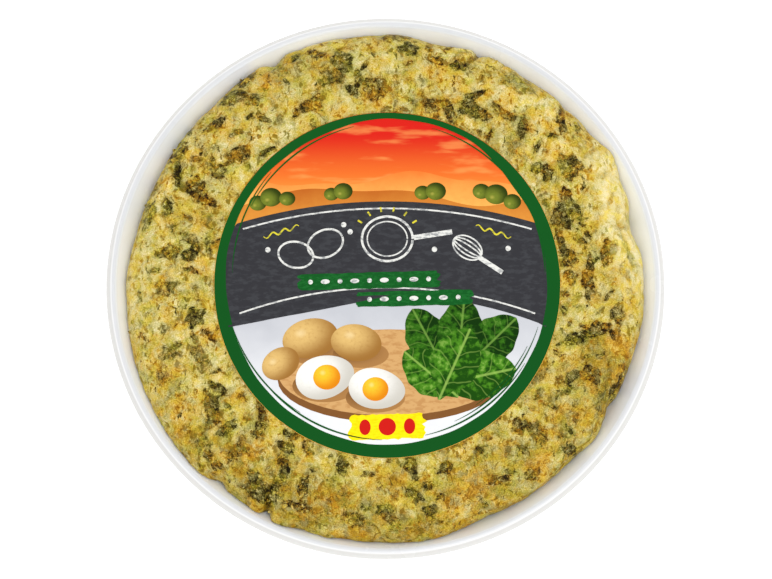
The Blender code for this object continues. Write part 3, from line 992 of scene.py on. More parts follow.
@dataclass(frozen=True)
class EggFinish:
    """Set egg and potato with chopped spinach all through it, from dark folds to pale curds.

    The tones stand on two scales of lightness, a cool one and a warm one, between which the hue wanders. A
    third, greyer scale is a painted sheen, the grey reflection on wet leaves, that also greys the egg in
    patches.
    """

    cool: tuple[tuple[float, Colour], ...] = (
        (0.10, srgb(26, 22, 0)), (0.23, srgb(64, 58, 4)), (0.34, srgb(93, 88, 20)),
        (0.45, srgb(126, 119, 40)), (0.57, srgb(158, 150, 64)), (0.68, srgb(188, 181, 96)),
        (0.78, srgb(211, 201, 132)), (0.90, srgb(240, 231, 186)))
    warm: tuple[tuple[float, Colour], ...] = (
        (0.10, srgb(37, 17, 0)), (0.23, srgb(86, 52, 0)), (0.34, srgb(119, 79, 4)),
        (0.45, srgb(154, 108, 16)), (0.57, srgb(186, 138, 38)), (0.68, srgb(211, 173, 71)),
        (0.78, srgb(222, 197, 114)), (0.90, srgb(243, 224, 164)))
    sheen: tuple[tuple[float, Colour], ...] = (
        (0.10, srgb(26, 21, 0)), (0.23, srgb(64, 56, 10)), (0.34, srgb(96, 89, 40)),
        (0.45, srgb(128, 121, 70)), (0.57, srgb(160, 153, 100)), (0.70, srgb(196, 188, 132)),
        (0.90, srgb(236, 226, 180)))
    glaze: Colour = (0.95, 0.70, 0.42)
    oil: Colour = (1.0, 0.94, 0.42)
    egg: float = 0.693
    leaf: float = 0.408
    veiled_leaf: float = 0.518
    bare_leaf: float = 0.363
    # The lightness that the painted light lifts the pale sides towards.
    painted_light_egg: float = 0.92
    speck: float = 0.42
    roughness: tuple[float, float] = (0.30, 0.52)
    relief: float = 0.5 * MM

    def material(self, effects: Effects) -> bpy.types.Material:
        """Make the omelette's skin, which its leaves and crumbs share.

        Args:
            effects: The shared node groups.

        Returns:
            The material.
        """
        material, skin, place = new_material("set_egg")
        loose = place.through(effects.warp, Size=3 * MM, Reach=1.4 * MM)[0]
        ragged = loose.through(effects.warp, Size=0.8 * MM, Reach=0.3 * MM)[0]
        curds = loose.clouds(2.4 * MM, 3, 0.6)
        small = place.clouds(0.95 * MM, 3, 0.65)
        fine = place.clouds(0.4 * MM, 2, 0.6)
        crinkle = loose.through(effects.crinkle)[0]
        shreds = self.shreds(loose)
        pale = place.attribute("pale")

        value = self.egg_value(ragged, curds, shreds, small, fine)
        reach = place.attribute("leaf") + curds.swing(2.2) + small.swing(0.8) + fine.swing(0.3)
        value, spinach = self.with_spinach(ragged, reach, crinkle, fine, value)
        value, specks = self.with_marks(effects, ragged, curds, value)
        # Painted light: the pale sides of the shoulder are lifted towards a lit lightness.
        value = pale.ramp(0.45, 1, 0, 0.55).blend(pale * 0.04 + value, self.painted_light_egg)

        toast = (place.attribute("toast") + curds.swing(2.2)).ramp(0.1, 1.1, 0, 0.6)
        broken = (small.swing(1.5) + fine.swing(1.6)) * (spinach * 0.9 + 0.35)
        # The painted light on the pale sides also warms their hue.
        hue = loose.clouds(6 * MM, 3, 0.6).swing(2.3) + 0.42 + broken + toast + specks * 0.8 + pale * 0.15
        hue = hue.maths("ADD", spinach * place.attribute("hue").ramp(0, 1, 0.36, -0.48), clamp=True)
        # Painted sheen: greyer tones for the reflection on wet leaves, also laid over the egg where rich is
        # low.
        wet = value.on_scale(self.sheen)
        tone = hue.mix(value.on_scale(self.cool), value.on_scale(self.warm))
        tone = (spinach * loose.clouds(3.2 * MM).ramp(0.44, 0.60, 0, 0.7)).mix(tone, wet)
        rich = loose.clouds(3.6 * MM, 3, 0.6)
        tone = rich.ramp(0.49, 0.34, 0, 0.6).mix(tone, wet)
        tone = rich.ramp(0.49, 0.63, 0, 0.92).mix(tone, self.oil, "MULTIPLY")
        glazed = ragged.clouds(2.6 * MM, 3, 0.6).ramp(0.57, 0.72, 0, 0.8)
        glazed *= place.clouds(9 * MM, 1).ramp(0.45, 0.6)

        height = curds * 0.6 + small * 0.4 + shreds * 0.6 + fine * 0.15 + spinach * crinkle * 0.9
        feed(skin, {
            "Base Color": glazed.mix(tone, self.glaze, "MULTIPLY"), "Normal": height.bump(self.relief, 0.9),
            "Roughness": fine.ramp(0.3, 0.7, *self.roughness), "Specular IOR Level": 0.06,
            "Coat Weight": 0.02, "Coat Roughness": 0.15, "Subsurface Weight": 0.06,
            "Subsurface Radius": (1, 0.6, 0.2), "Subsurface Scale": 1 * MM})
        return material

    @staticmethod
    def shreds(place: Value) -> Value:
        """Noise drawn out into shreds, whose direction changes from patch to patch."""
        lying = place.stretched(35, 1, 0.3, 1).clouds(3.4 * MM)
        leaning = place.stretched(-40, 1, 0.3, 1).clouds(3 * MM)
        return place.clouds(11 * MM, 1).ramp(0.44, 0.56).blend(lying, leaning)

    def egg_value(self, ragged: Value, curds: Value, shreds: Value, small: Value, fine: Value) -> Value:
        """How light the egg is without its spinach.

        Args:
            ragged: The place with ragged shifts.
            curds: Middling noise.
            shreds: Noise drawn out lengthwise.
            small: Small noise.
            fine: Fine noise.

        Returns:
            Its lightness, from 0 to 1.
        """
        patches = ragged.clouds(8 * MM).swing(0.26)
        grain = curds.swing(0.16) + shreds.swing(0.19) + small.swing(0.18) + fine.swing(0.54)
        pale_flakes = ragged.clouds(3.2 * MM).ramp(0.53, 0.58, 0, 0.05)
        dark_flakes = ragged.stretched(-30, 1, 0.45, 1).clouds(2.6 * MM).ramp(0.56, 0.59, 0, -0.06)
        lumps = ragged.attribute("lump").ramp(0.5, 0.8, 0, 0.06)
        # Painted shade on the shoulder's dull sides.
        dull = ragged.attribute("dull") * -0.125
        return patches + self.egg + grain + pale_flakes + dark_flakes + lumps + dull

    def with_spinach(self, ragged: Value, reach: Value, crinkle: Value, fine: Value,
                     value: Value) -> tuple[Value, Value]:
        """Darken the egg where spinach lies under it, in it and on it.

        Args:
            ragged: The place with ragged shifts.
            reach: Signed distance to the nearest leaf's broken outline, above zero inside it.
            crinkle: The leaves' folds.
            fine: Fine noise.
            value: The egg's lightness.

        Returns:
            The new lightness, and how much spinach shows.
        """
        bareness = ragged.attribute("bare")
        crowd = ragged.clouds(14 * MM).ramp(0.38, 0.62)
        steep = ragged.stretched(82, 1, 0.42, 1).clouds(4.4 * MM, 4, 0.6)
        level = ragged.stretched(-12, 1, 0.42, 1).clouds(4.4 * MM, 4, 0.6)
        smoke = ragged.clouds(13 * MM, 1).ramp(0.44, 0.56).blend(steep, level).ramp(0.50, 0.63, 0, 0.34)
        under = reach.ramp(-1.6, 0.1) * bareness.ramp(0.3, 0.85, 0.40, 0.62)
        veil = (smoke * (crowd * 0.7 + 0.3)).maths("MAXIMUM", under)
        value = veil.blend(value, crinkle.swing(0.5) + self.veiled_leaf + fine.swing(0.9))

        body = reach.ramp(-0.46, -0.31, 0, 0.95) * bareness.ramp(0.3, 0.85, 0.12, 1)
        slivers = ragged.stretched(35, 1, 0.45, 1).clouds(2 * MM)
        bits = (slivers - (crowd * -0.05 + 0.675)).maths("DIVIDE", 0.05, clamp=True)
        body = body.maths("MAXIMUM", bits * ragged.clouds(2.2 * MM, 1).ramp(0.4, 0.6, 0.35, 0.95))
        # Painted glints: pale specks on the bare leaves stand in for highlights on their wet folds.
        painted_glints = ragged.clouds(0.45 * MM, 1).ramp(0.56, 0.70, 0, 0.32)
        painted_glints *= ragged.clouds(2.6 * MM, 1).ramp(0.42, 0.58)
        value = body.blend(value, crinkle.swing(0.92) + self.bare_leaf + fine.swing(0.9) + painted_glints)
        return value, body.maths("MAXIMUM", veil)

    def with_marks(self, effects: Effects, ragged: Value, curds: Value, value: Value) -> tuple[Value, Value]:
        """Add painted shade in the lumps' grooves, the creases, the pores and the slits, and strands and
        small browned specks.

        Args:
            effects: The shared node groups.
            ragged: The place with ragged shifts.
            curds: Middling noise.
            value: The lightness so far.

        Returns:
            The new lightness, and the mask of the specks.
        """
        # Painted shade: darker along the grooves between lumps, in the creases and pores, and in thin slits.
        folds = (ragged.attribute("border") * curds.ramp(0.4, 0.6)).ramp(0.4, 0.95, 0, 0.18)
        crease = ragged.attribute("crease").ramp(0.45, 1.4, 0, 0.26)
        slits = []
        for turn, size in ((20, 4.2), (105, 3.2)):
            drawn = ragged.stretched(turn, 1, 0.34, 1).clouds(size * MM, 1)
            where = ragged.stretched(2 * turn, 1, 1, 1).clouds(4.5 * MM, 1).ramp(0.50, 0.58)
            slits.append(abs(drawn.swing(2)).ramp(0.008, 0.030, 1, 0) * where)
        painted_groove_shade = folds + crease + ragged.attribute("pore") * 0.12 + slits[0].maths("MAXIMUM", slits[1]) * 0.18
        along = ragged.stretched(120, 1, 0.6, 1)
        strands, _ = along.through(effects.chips, Size=1.2 * MM, Amount=0.09, Softness=0.1)
        value = (strands * 0.8).blend(value - painted_groove_shade, self.leaf)
        turned = ragged.stretched(70, 1, 1, 1)
        specks, tone = turned.through(effects.chips, Size=0.85 * MM, Amount=0.05, Softness=0.3)
        shown = specks * tone.ramp(0, 1, 0.4, 1)
        return shown.blend(value, self.speck), shown


@dataclass
class Scraps:
    """Bits of spinach that lie in the surface, thin and crinkled, so that parts of each are under the egg."""

    spinach: Spinach
    thickness: float = 0.13 * MM
    bare_below: float = 0.32
    large_from: float = 1.9 * MM
    rise: float = 0.09 * MM
    crinkle_depth: float = 0.30 * MM
    edge_sink: float = 0.22 * MM

    @staticmethod
    def template(spokes: int, rings: Sequence[float]) -> bpy.types.Object:
        """Model one flat round leaf of radius 1, as a start for every scrap.

        Args:
            spokes: How many corners each ring has.
            rings: The rings' radii.

        Returns:
            The flat leaf.
        """
        leaf = add_start(bpy.ops.mesh.primitive_circle_add, "flat_leaf", vertices=spokes, radius=rings[0],
                         fill_type="TRIFAN")
        with editing(leaf):
            bpy.ops.mesh.region_to_loop()
            for inner, outer in zip(rings, rings[1:]):
                bpy.ops.mesh.extrude_edges_move()
                bpy.ops.transform.resize(value=(outer / inner, outer / inner, 1))
        return leaf

    def laid(self, leaf: Leaf, flat: np.ndarray, ground: BVHTree) -> np.ndarray | None:
        """Lay the flat leaf in the omelette's surface.

        Args:
            leaf: The leaf that is laid.
            flat: The template's places, within a circle of radius 1.
            ground: The omelette's faces.

        Returns:
            The laid places, or None where there is nothing under the leaf.
        """
        hit, normal, _, _ = ground.ray_cast(Vector((*leaf.centre, OVER_ALL)), Vector((0, 0, -1)))
        if hit is None:
            return None
        east = Vector((math.cos(leaf.heading), math.sin(leaf.heading), 0))
        east = (east - normal * east.dot(normal)).normalized()
        north = normal.cross(east)
        bearing = np.arctan2(flat[:, 1], flat[:, 0])
        share = np.hypot(flat[:, 0], flat[:, 1])
        reach = leaf.rim(bearing)
        places = np.zeros_like(flat)
        for index in range(len(flat)):
            spread = east * (flat[index, 0] * reach[index] * leaf.half_length)
            spread += north * (flat[index, 1] * reach[index] * leaf.half_width)
            found = ground.ray_cast(hit + spread + normal * 4 * MM, -normal, 9 * MM)[0]
            if found is None:
                return None
            curl = max(0, math.cos(bearing[index] - leaf.lift_side)) * share[index] ** 3
            wave = noise.noise(found / (1.15 * MM) + Vector((leaf.crinkle, 0, 0)))
            sink = self.edge_sink * share[index] ** 4
            places[index] = found + normal * (self.rise + wave * self.crinkle_depth - sink + curl * leaf.lift)
        return places

    def build(self, omelette: bpy.types.Object, form: Omelette) -> bpy.types.Object:
        """Make every bare leaf as a scrap in the omelette's surface, joined into one piece.

        Args:
            omelette: The finished omelette.
            form: What it was built from.

        Returns:
            The scraps.
        """
        ground = BVHTree.FromObject(omelette, bpy.context.evaluated_depsgraph_get())
        small = self.template(11, (0.5, 1.0))
        large = self.template(22, (0.22, 0.42, 0.62, 0.81, 1.0))
        scraps = []
        for number, leaf in enumerate(self.spinach.leaves):
            if leaf.veil > self.bare_below:
                continue
            start = large if leaf.half_length > self.large_from else small
            places = self.laid(leaf, get_places(start.data), ground)
            if places is None:
                continue
            scrap = add_object(f"scrap_{number}", start.data.copy())
            set_places(scrap.data, places)
            scraps.append(scrap)
        for start in (small, large):
            bpy.data.objects.remove(start)
        whole = joined(scraps, "spinach_scraps")
        apply_modifier(whole, "SOLIDIFY", thickness=self.thickness, offset=-1)
        for name, values in form.masks(get_places(whole.data)[:, :2]).items():
            set_attribute(whole.data, name, values)
        whole.data.shade_smooth()
        return whole


@dataclass
class Crumbs:
    """Small crumbs of egg, half sunk in the omelette's side and beside its deep crack."""

    seed: int = 12
    count: int = 110
    crack_share: float = 0.2
    crack_turn: tuple[float, float] = (241, 251)
    radius: tuple[float, float] = (80 * MM, 88.2 * MM)
    half_size: tuple[float, float] = (0.35 * MM, 1.0 * MM)
    unevenness: tuple[float, float] = (0.6, 1.3)
    sunk: float = 0.35

    def build(self, omelette: bpy.types.Object) -> bpy.types.Object:
        """Model one crumb and set uneven copies of it on the omelette.

        Args:
            omelette: The finished omelette.

        Returns:
            All the crumbs as one piece.
        """
        ground = BVHTree.FromObject(omelette, bpy.context.evaluated_depsgraph_get())
        draw = random.Random(self.seed)
        start = add_start(bpy.ops.mesh.primitive_ico_sphere_add, "ball", subdivisions=2, radius=1)
        ball = get_places(start.data)
        crumbs = []
        for number in range(self.count):
            in_crack = number < self.crack_share * self.count
            turn = draw.uniform(*self.crack_turn) if in_crack else draw.uniform(0, 360)
            spot = polar(turn, draw.uniform(*self.radius))
            hit, normal, _, _ = ground.ray_cast(Vector((*spot, OVER_ALL)), Vector((0, 0, -1)))
            if hit is None:
                continue
            sizes = [draw.triangular(*self.half_size, self.half_size[0]) * draw.uniform(*self.unevenness)
                     for _ in range(3)]
            twist = Vector((draw.gauss(0, 1), draw.gauss(0, 1), draw.gauss(0, 1))).to_track_quat("Z", "Y")
            places = []
            for spot in ball:
                lumpy = 1 + 0.45 * noise.noise(Vector(spot) * 1.4 + Vector((number * 3.1, 0, 0)))
                turned = twist @ Vector([spot[axis] * sizes[axis] * lumpy for axis in range(3)])
                places.append(hit + turned + normal * (1 - 2 * self.sunk) * min(sizes))
            crumb = add_object(f"crumb_{number}", start.data.copy())
            set_places(crumb.data, np.array(places))
            crumbs.append(crumb)
        bpy.data.objects.remove(start)
        whole = joined(crumbs, "egg_crumbs")
        whole.data.shade_smooth()
        count = len(whole.data.vertices)
        set_attribute(whole.data, "leaf", np.full(count, -4.0))
        # The crumbs take a fixed share of the painted shade that the dull mask gives the shoulder.
        set_attribute(whole.data, "dull", np.full(count, 0.4))
        return whole


class InkStyle(Enum):
    """How a printed colour runs into a second one over a shape."""

    FLAT = "down the label"
    ROUND = "from a lit side to a shaded rim"
    LEAF = "along the veins of a leaf"
    ROUGH = "broken, as chalk or a dry brush leaves it"


def coat_card(skin: bpy.types.Node, paper: Value, tone: Value, shine: float) -> None:
    """Give a printed tone the fine grain and the soft gloss of coated card."""
    feed(skin, {"Base Color": tone, "Roughness": paper.ramp(0.3, 0.7, 0.40, 0.52),
                "Normal": paper.bump(0.006 * MM, 0.4), "Specular IOR Level": shine})


@dataclass(frozen=True)
class InkFinish:
    """One printed colour range of the label."""

    name: str
    style: InkStyle
    first: Colour
    second: Colour
    accent: Colour = (1, 1, 1)
    low: float = -50 * MM
    high: float = 50 * MM
    mottle: float = 0.12
    streak: float = 0.8 * MM
    grain: float = 1.6 * MM
    shine: float = 0.03

    def material(self, effects: Effects) -> bpy.types.Material:
        """Make the ink.

        Args:
            effects: The shared node groups.

        Returns:
            The material.
        """
        material, skin, place = new_material(self.name)
        paper = place.through(effects.grain, Size=self.grain)[0]
        across, along, _ = place.node("ShaderNodeUVMap", {}, uv_map="shape")[0].parts()
        draw = {InkStyle.FLAT: self.flat, InkStyle.ROUND: self.rounded, InkStyle.LEAF: self.leaf,
                InkStyle.ROUGH: self.rough}[self.style]
        tone = paper.ramp(0.40, 0.65, 0, self.mottle).mix(draw(place, across, along), self.first)
        coat_card(skin, paper, tone, self.shine)
        return material

    def flat(self, place: Value, across: Value, along: Value) -> Value:
        """Run from the second colour low on the label to the first one high on it."""
        soft = place.clouds(9 * MM, 3) * 0.5 - 0.25
        share = place.parts()[1].ramp(self.low, self.high).maths("ADD", soft, clamp=True)
        return share.mix(self.second, self.first)

    def rounded(self, place: Value, across: Value, along: Value) -> Value:
        """Light the shape from the upper left, as a round thing."""
        east, north = across + 0.30, along - 0.35
        reach = (east * east + north * north).maths("SQRT")
        tone = reach.ramp(0.25, 1.35).mix(self.second, self.first)
        tone = place.clouds(1.1 * MM, 3).ramp(0.52, 0.70, 0, 0.22).mix(tone, self.first)
        return reach.ramp(0.30, 0, 0, 0.6).mix(tone, self.accent)

    def leaf(self, place: Value, across: Value, along: Value) -> Value:
        """Draw a midrib, slanting veins and a puckered blade."""
        side = abs(along)
        rows = across + side * -0.75 + side * side * 0.35 + place.clouds(5 * MM, 1).swing(0.35)
        veins = (rows * 13).maths("SINE")
        pucker = place.clouds(2.4 * MM, 3, 0.6) + veins * -0.06 + along.ramp(-0.7, 0.8, -0.10, 0.08)
        tone = pucker.ramp(0.40, 0.62).mix(self.first, self.second)
        tone = pucker.ramp(0.60, 0.74, 0, 0.5).mix(tone, self.accent)
        tone = (across * across + along * along).ramp(0.45, 1, 0, 0.35).mix(tone, self.first)
        tone = veins.ramp(0.93, 0.995, 0, 0.30).mix(tone, self.accent)
        return side.ramp(0.07, 0.02, 0, 0.65).mix(tone, self.accent)

    def rough(self, place: Value, across: Value, along: Value) -> Value:
        """Break the first colour up with the second one."""
        streaks = place.stretched(0, 0.45, 1, 1).clouds(self.streak, 4, 0.65)
        return streaks.ramp(0.46, 0.62).mix(self.first, self.second)


# How many straight pieces the print's ovals, drawn loops and leaf blades have.
OVAL_STEPS = 40
LOOP_STEPS = 48
BLADE_STEPS = 28


@dataclass(frozen=True)
class Shape:
    """One printed shape, in millimetres from the label's middle, with the frame its shading is drawn in."""

    outline: tuple[Point, ...]
    centre: Point = (0, 0)
    half_length: float = 50
    half_width: float = 50
    heading: float = 0

    def within(self, spot: Point) -> Point:
        """A spot as shares of the half length and the half width, from the shape's middle."""
        turn = math.radians(self.heading)
        east, north = spot[0] - self.centre[0], spot[1] - self.centre[1]
        along = east * math.cos(turn) + north * math.sin(turn)
        across = north * math.cos(turn) - east * math.sin(turn)
        return along / self.half_length, across / self.half_width


def moved(points: Sequence[Point], centre: Point, heading: float) -> tuple[Point, ...]:
    """Turn points that are drawn along +X about their own middle, and move them to their place."""
    turn = math.radians(heading)
    return tuple((centre[0] + x * math.cos(turn) - y * math.sin(turn),
                  centre[1] + x * math.sin(turn) + y * math.cos(turn)) for x, y in points)


def oval(centre: Point, half_length: float, half_width: float, heading: float = 0, blunt: float = 0) -> Shape:
    """An oval, with one end blunter than the other where blunt is above 0."""
    points = []
    for turn in (math.tau * step / OVAL_STEPS for step in range(OVAL_STEPS)):
        width = half_width * (1 + blunt * math.cos(turn))
        points.append((half_length * math.cos(turn), width * math.sin(turn)))
    return Shape(moved(points, centre, heading), centre, half_length, half_width, heading)


def blade(centre: Point, half_length: float, half_width: float, heading: float) -> Shape:
    """A round leaf with a softly waved margin and a short stalk."""
    side = []
    for share in (step / BLADE_STEPS for step in range(1, BLADE_STEPS)):
        width = half_width * math.sin(math.pi * share ** 0.85) ** 0.55 * (1 + 0.035 * math.sin(share * 23))
        side.append((half_length * (2 * share - 1), width))
    lower = [(x, -0.94 * y) for x, y in reversed(side)]
    stalk = [(-1.35 * half_length, -0.05 * half_width), (-1.37 * half_length, 0.04 * half_width)]
    tip = [(1.02 * half_length, 0)]
    outline = moved(stalk + side + tip + lower, centre, heading)
    return Shape(outline, centre, half_length, half_width, heading)


def stroke(points: Sequence[Point], width: float, taper: float = 0) -> Shape:
    """A drawn line of one width, thinner at both ends where taper is above 0."""
    left, right = [], []
    for index, (x, y) in enumerate(points):
        before = points[max(index - 1, 0)]
        after = points[min(index + 1, len(points) - 1)]
        run = (after[0] - before[0], after[1] - before[1])
        length = math.hypot(*run)
        share = index / (len(points) - 1)
        half = width / 2 * (1 - taper * (2 * share - 1) ** 2)
        side = (-run[1] / length * half, run[0] / length * half)
        left.append((x + side[0], y + side[1]))
        right.append((x - side[0], y - side[1]))
    return Shape(tuple(left + right[::-1]))


def loop(centre: Point, half_length: float, half_width: float, heading: float, width: float,
         start: float = 0, end: float = 357) -> Shape:
    """A drawn oval line, or a part of one between two angles."""
    angles = [math.radians(start + (end - start) * step / LOOP_STEPS) for step in range(LOOP_STEPS + 1)]
    points = [(half_length * math.cos(angle), half_width * math.sin(angle)) for angle in angles]
    return stroke(moved(points, centre, heading), width)


def brushed(centre: Point, length: float, width: float, heading: float, seed: int) -> Shape:
    """A bar as a broad brush leaves it, with ragged ends."""
    draw = random.Random(seed)
    half_length, half_width = length / 2, width / 2
    end = [half_width - width * step / 9 for step in range(1, 9)]
    upper = [(length * step / 20 - half_length, half_width * draw.uniform(0.93, 1.03)) for step in range(21)]
    right = [(half_length + draw.uniform(-0.4, 1.6), y) for y in end]
    lower = [(x, -y * draw.uniform(0.96, 1.03)) for x, y in reversed(upper)]
    left = [(-half_length - draw.uniform(-0.4, 1.6), -y) for y in end]
    outline = moved(upper + right + lower + left, centre, heading)
    return Shape(outline, centre, half_length, half_width, heading)


@dataclass(frozen=True)
class Layer:
    """Shapes that are printed in one ink."""

    name: str
    level: int
    finish: InkFinish
    shapes: tuple[Shape, ...]


def printed(name: str, level: int, style: InkStyle, tones: Sequence[tuple[int, int, int]], *shapes: Shape,
            **options: float) -> Layer:
    """Settle one layer of the print, with its ink.

    Args:
        name: What the layer shows.
        level: Its height over the card, in steps.
        style: How its colours run into each other.
        tones: The ink's first and second colour, and its accent where it has one, as seen on a screen.
        shapes: What is printed.
        options: The ink's other values.

    Returns:
        The layer.
    """
    ink = InkFinish(f"{name}_ink", style, *(srgb(*tone) for tone in tones), **options)
    return Layer(f"print_{name}", level, ink, shapes)


# Trees of the print: middle and size, in millimetres.
TREES = (
    (-44, 27.5, 2.6), (-39.5, 29.5, 3.2), (-34, 29.0, 2.4), (-19, 30.5, 2.2), (-15, 31.5, 2.8),
    (12, 31.0, 2.4), (16.5, 31.5, 3.0), (32, 31.5, 2.6), (37, 30.5, 3.4), (42.5, 28.0, 2.6),
)
# Bristle lines: first and last angle, first and last radius, width.
BRISTLE_LINES = (
    (102, 150, 55.0, 53.3, 0.55), (136, 176, 54.9, 52.6, 0.5), (28, 74, 54.8, 55.4, 0.5),
    (4, 24, 53.6, 54.4, 0.6), (196, 236, 54.2, 52.4, 0.5), (214, 268, 53.2, 52.6, 0.6),
    (284, 330, 52.6, 53.6, 0.6), (296, 344, 51.6, 53.0, 0.5), (306, 336, 50.6, 51.8, 0.4),
)


@dataclass
class Label:
    """The nearly round card, and over it a print of hills, a board, eggs and leaves, in millimetres."""

    omelette: Omelette
    card_thickness: float = 0.21 * MM
    level_rise: float = 0.014 * MM
    order_rise: float = 0.004 * MM
    tuck: float = 0.02 * MM
    spokes: int = 160
    print_reach: float = 55.6
    ring_outer: float = 58.6
    ring_ink: InkFinish = InkFinish("ring_ink", InkStyle.FLAT, srgb(19, 86, 30), srgb(18, 82, 29), mottle=0)
    ring_level: int = 6
    print_side: float = 57
    hills_foot: float = 8
    cut_step: float = 6
    band_centre: float = -150
    band_inner: float = 146
    band_outer: float = 178

    def height(self, x: float, y: float) -> float:
        """Height of the card's face at a spot, in metres."""
        return self.omelette.crown_height(math.hypot(x, y)) + self.omelette.gap + self.card_thickness

    def build_card(self) -> bpy.types.Object:
        """Model the card: a disc of rings, bent to the crown, with its thickness and a softened rim.

        Returns:
            The card.
        """
        rings = [0.1 * step for step in range(1, 11)]
        card = Scraps.template(self.spokes, rings)
        card.name = card.data.name = "label_card"
        places = get_places(card.data)
        places[:, :2] *= self.omelette.label_radius * self.omelette.label_stretch
        places[:, :2] += np.array(self.omelette.label_centre)
        places[:, 2] = [self.height(x, y) for x, y, _ in places]
        set_places(card.data, places)
        apply_modifier(card, "SOLIDIFY", thickness=self.card_thickness, offset=-1)
        apply_modifier(card, "BEVEL", width=0.05 * MM, segments=2, limit_method="ANGLE")
        smooth_by_angle(card, 40)
        return card

    def sheet(self, shape: Shape, order: int) -> bpy.types.Object:
        """Make one shape as a flat face, with its order as its height and the shading frame as its UV map.

        Args:
            shape: The shape.
            order: Its place in its layer, the first one lowest.

        Returns:
            The face.
        """
        sheet = add_start(bpy.ops.mesh.primitive_circle_add, "sheet", vertices=len(shape.outline), radius=1,
                          fill_type="NGON", calc_uvs=False)
        mesh = sheet.data
        outline = []
        for x, y in shape.outline:
            reach = max(1, math.hypot(x, y) / self.print_reach)
            outline.append((x / reach, y / reach, order))
        set_places(mesh, np.array(outline))
        if mesh.polygons[0].normal.z < 0:
            mesh.flip_normals()
        for old in list(mesh.uv_layers):
            mesh.uv_layers.remove(old)
        frame_map = mesh.uv_layers.new(name="shape")
        for corner in mesh.loops:
            x, y, _ = mesh.vertices[corner.vertex_index].co
            frame_map.data[corner.index].uv = shape.within((x, y))
        return sheet

    def build_layer(self, layer: Layer) -> bpy.types.Object:
        """Print one layer: cut its flat shapes small enough to follow the crown, drape them and thicken them.

        Args:
            layer: The layer.

        Returns:
            The printed piece.
        """
        whole = joined([self.sheet(shape, order) for order, shape in enumerate(layer.shapes)], layer.name)
        with editing(whole):
            bpy.ops.mesh.quads_convert_to_tris(quad_method="BEAUTY", ngon_method="BEAUTY")
            for axis in ((1, 0, 0), (0, 1, 0)):
                steps = int(self.ring_outer // self.cut_step)
                for step in range(-steps, steps + 1):
                    bpy.ops.mesh.select_all(action="SELECT")
                    at = tuple(part * step * self.cut_step for part in axis)
                    bpy.ops.mesh.bisect(plane_co=at, plane_no=axis)
        self.drape(whole, layer.level)
        return whole

    def drape(self, piece: bpy.types.Object, level: int) -> None:
        """Bring a flat piece that is drawn in millimetres to its true size, on the card's face."""
        places = get_places(piece.data)
        lift = level * self.level_rise
        orders = places[:, 2] * self.order_rise
        places[:, :2] *= MM * self.omelette.label_stretch
        places[:, :2] += np.array(self.omelette.label_centre)
        places[:, 2] = [self.height(x, y) + lift + order for (x, y, _), order in zip(places, orders)]
        set_places(piece.data, places)
        if sum(face.normal.z for face in piece.data.polygons) < 0:
            piece.data.flip_normals()
        apply_modifier(piece, "SOLIDIFY", thickness=lift + self.tuck, offset=-1)
        smooth_by_angle(piece, 40)

    @staticmethod
    def ring_width(bearing: np.ndarray) -> np.ndarray:
        """How broad the border is: thin over the top, fuller to the left of that, broad elsewhere."""
        thin = smooth((np.cos(bearing - math.radians(78)) - 0.75) / 0.25)
        fuller = smooth((np.cos(bearing - math.radians(135)) - 0.6) / 0.3)
        uneven = 0.10 * np.sin(9 * bearing + 1) + 0.07 * np.sin(23 * bearing)
        return 4.4 - np.maximum(2.4 * thin, 1.3 * fuller) + uneven

    def build_ring(self) -> bpy.types.Object:
        """Print the border, a ring whose inner edge a brush left uneven.

        Returns:
            The ring.
        """
        ring = add_start(bpy.ops.mesh.primitive_circle_add, "print_ring", vertices=self.spokes,
                         radius=self.print_reach, fill_type="NOTHING")
        growth = self.ring_outer / self.print_reach
        with editing(ring):
            bpy.ops.mesh.extrude_edges_move()
            bpy.ops.transform.resize(value=(growth, growth, 1))
            bpy.ops.mesh.select_all(action="SELECT")
            bpy.ops.mesh.normals_make_consistent(inside=False)
        places = get_places(ring.data)
        bearing = np.arctan2(places[:, 1], places[:, 0])
        near = np.hypot(places[:, 0], places[:, 1]) < (self.print_reach + self.ring_outer) / 2
        radius = self.ring_outer - self.ring_width(bearing) * near
        places[:, :2] = np.stack([radius * np.cos(bearing), radius * np.sin(bearing)], 1)
        set_places(ring.data, places)
        self.drape(ring, self.ring_level)
        return ring

    @staticmethod
    def bristle_lines() -> tuple[Shape, ...]:
        """Thin lines that single bristles left along the border's inner edge."""
        shapes = []
        for start, end, near, far, width in BRISTLE_LINES:
            spots = zip(np.linspace(start, end, 33), np.linspace(near, far, 33))
            shapes.append(stroke([polar(angle, radius) for angle, radius in spots], width, 0.85))
        return tuple(shapes)

    def band_line(self, radius: float, reach: float, count: int) -> list[Point]:
        """Points along the board, on an arc about its own far centre."""
        spots = np.linspace(-reach, reach, count)
        return [(x, math.sqrt(radius ** 2 - x ** 2) + self.band_centre) for x in spots]

    def board(self) -> Shape:
        """The dark board, a band across the whole label."""
        upper = self.band_line(self.band_outer, self.print_side, 39)
        return Shape(self.between(upper, self.band_line(self.band_inner, self.print_side, 39)))

    @staticmethod
    def between(upper: list[Point], lower: list[Point]) -> tuple[Point, ...]:
        """Outline between two lines across the label, with sides that can follow its rim."""
        sides = []
        for top, foot in ((upper[-1], lower[-1]), (upper[0], lower[0])):
            sides.append([(top[0], float(y)) for y in np.linspace(top[1], foot[1], 18)[1:-1]])
        return tuple(upper + sides[0] + lower[::-1] + sides[1][::-1])

    def hills(self, height: float, swell: float, length: float, start: float) -> Shape:
        """A line of rounded hills down to the board."""
        top = [(x, height + swell * math.sin(x / length + start) + 0.4 * swell * math.sin(2.3 * x / length))
               for x in np.linspace(-self.print_side, self.print_side, 58)]
        foot = [(-self.print_side, self.hills_foot), (self.print_side, self.hills_foot)]
        return Shape(self.between(top, foot))

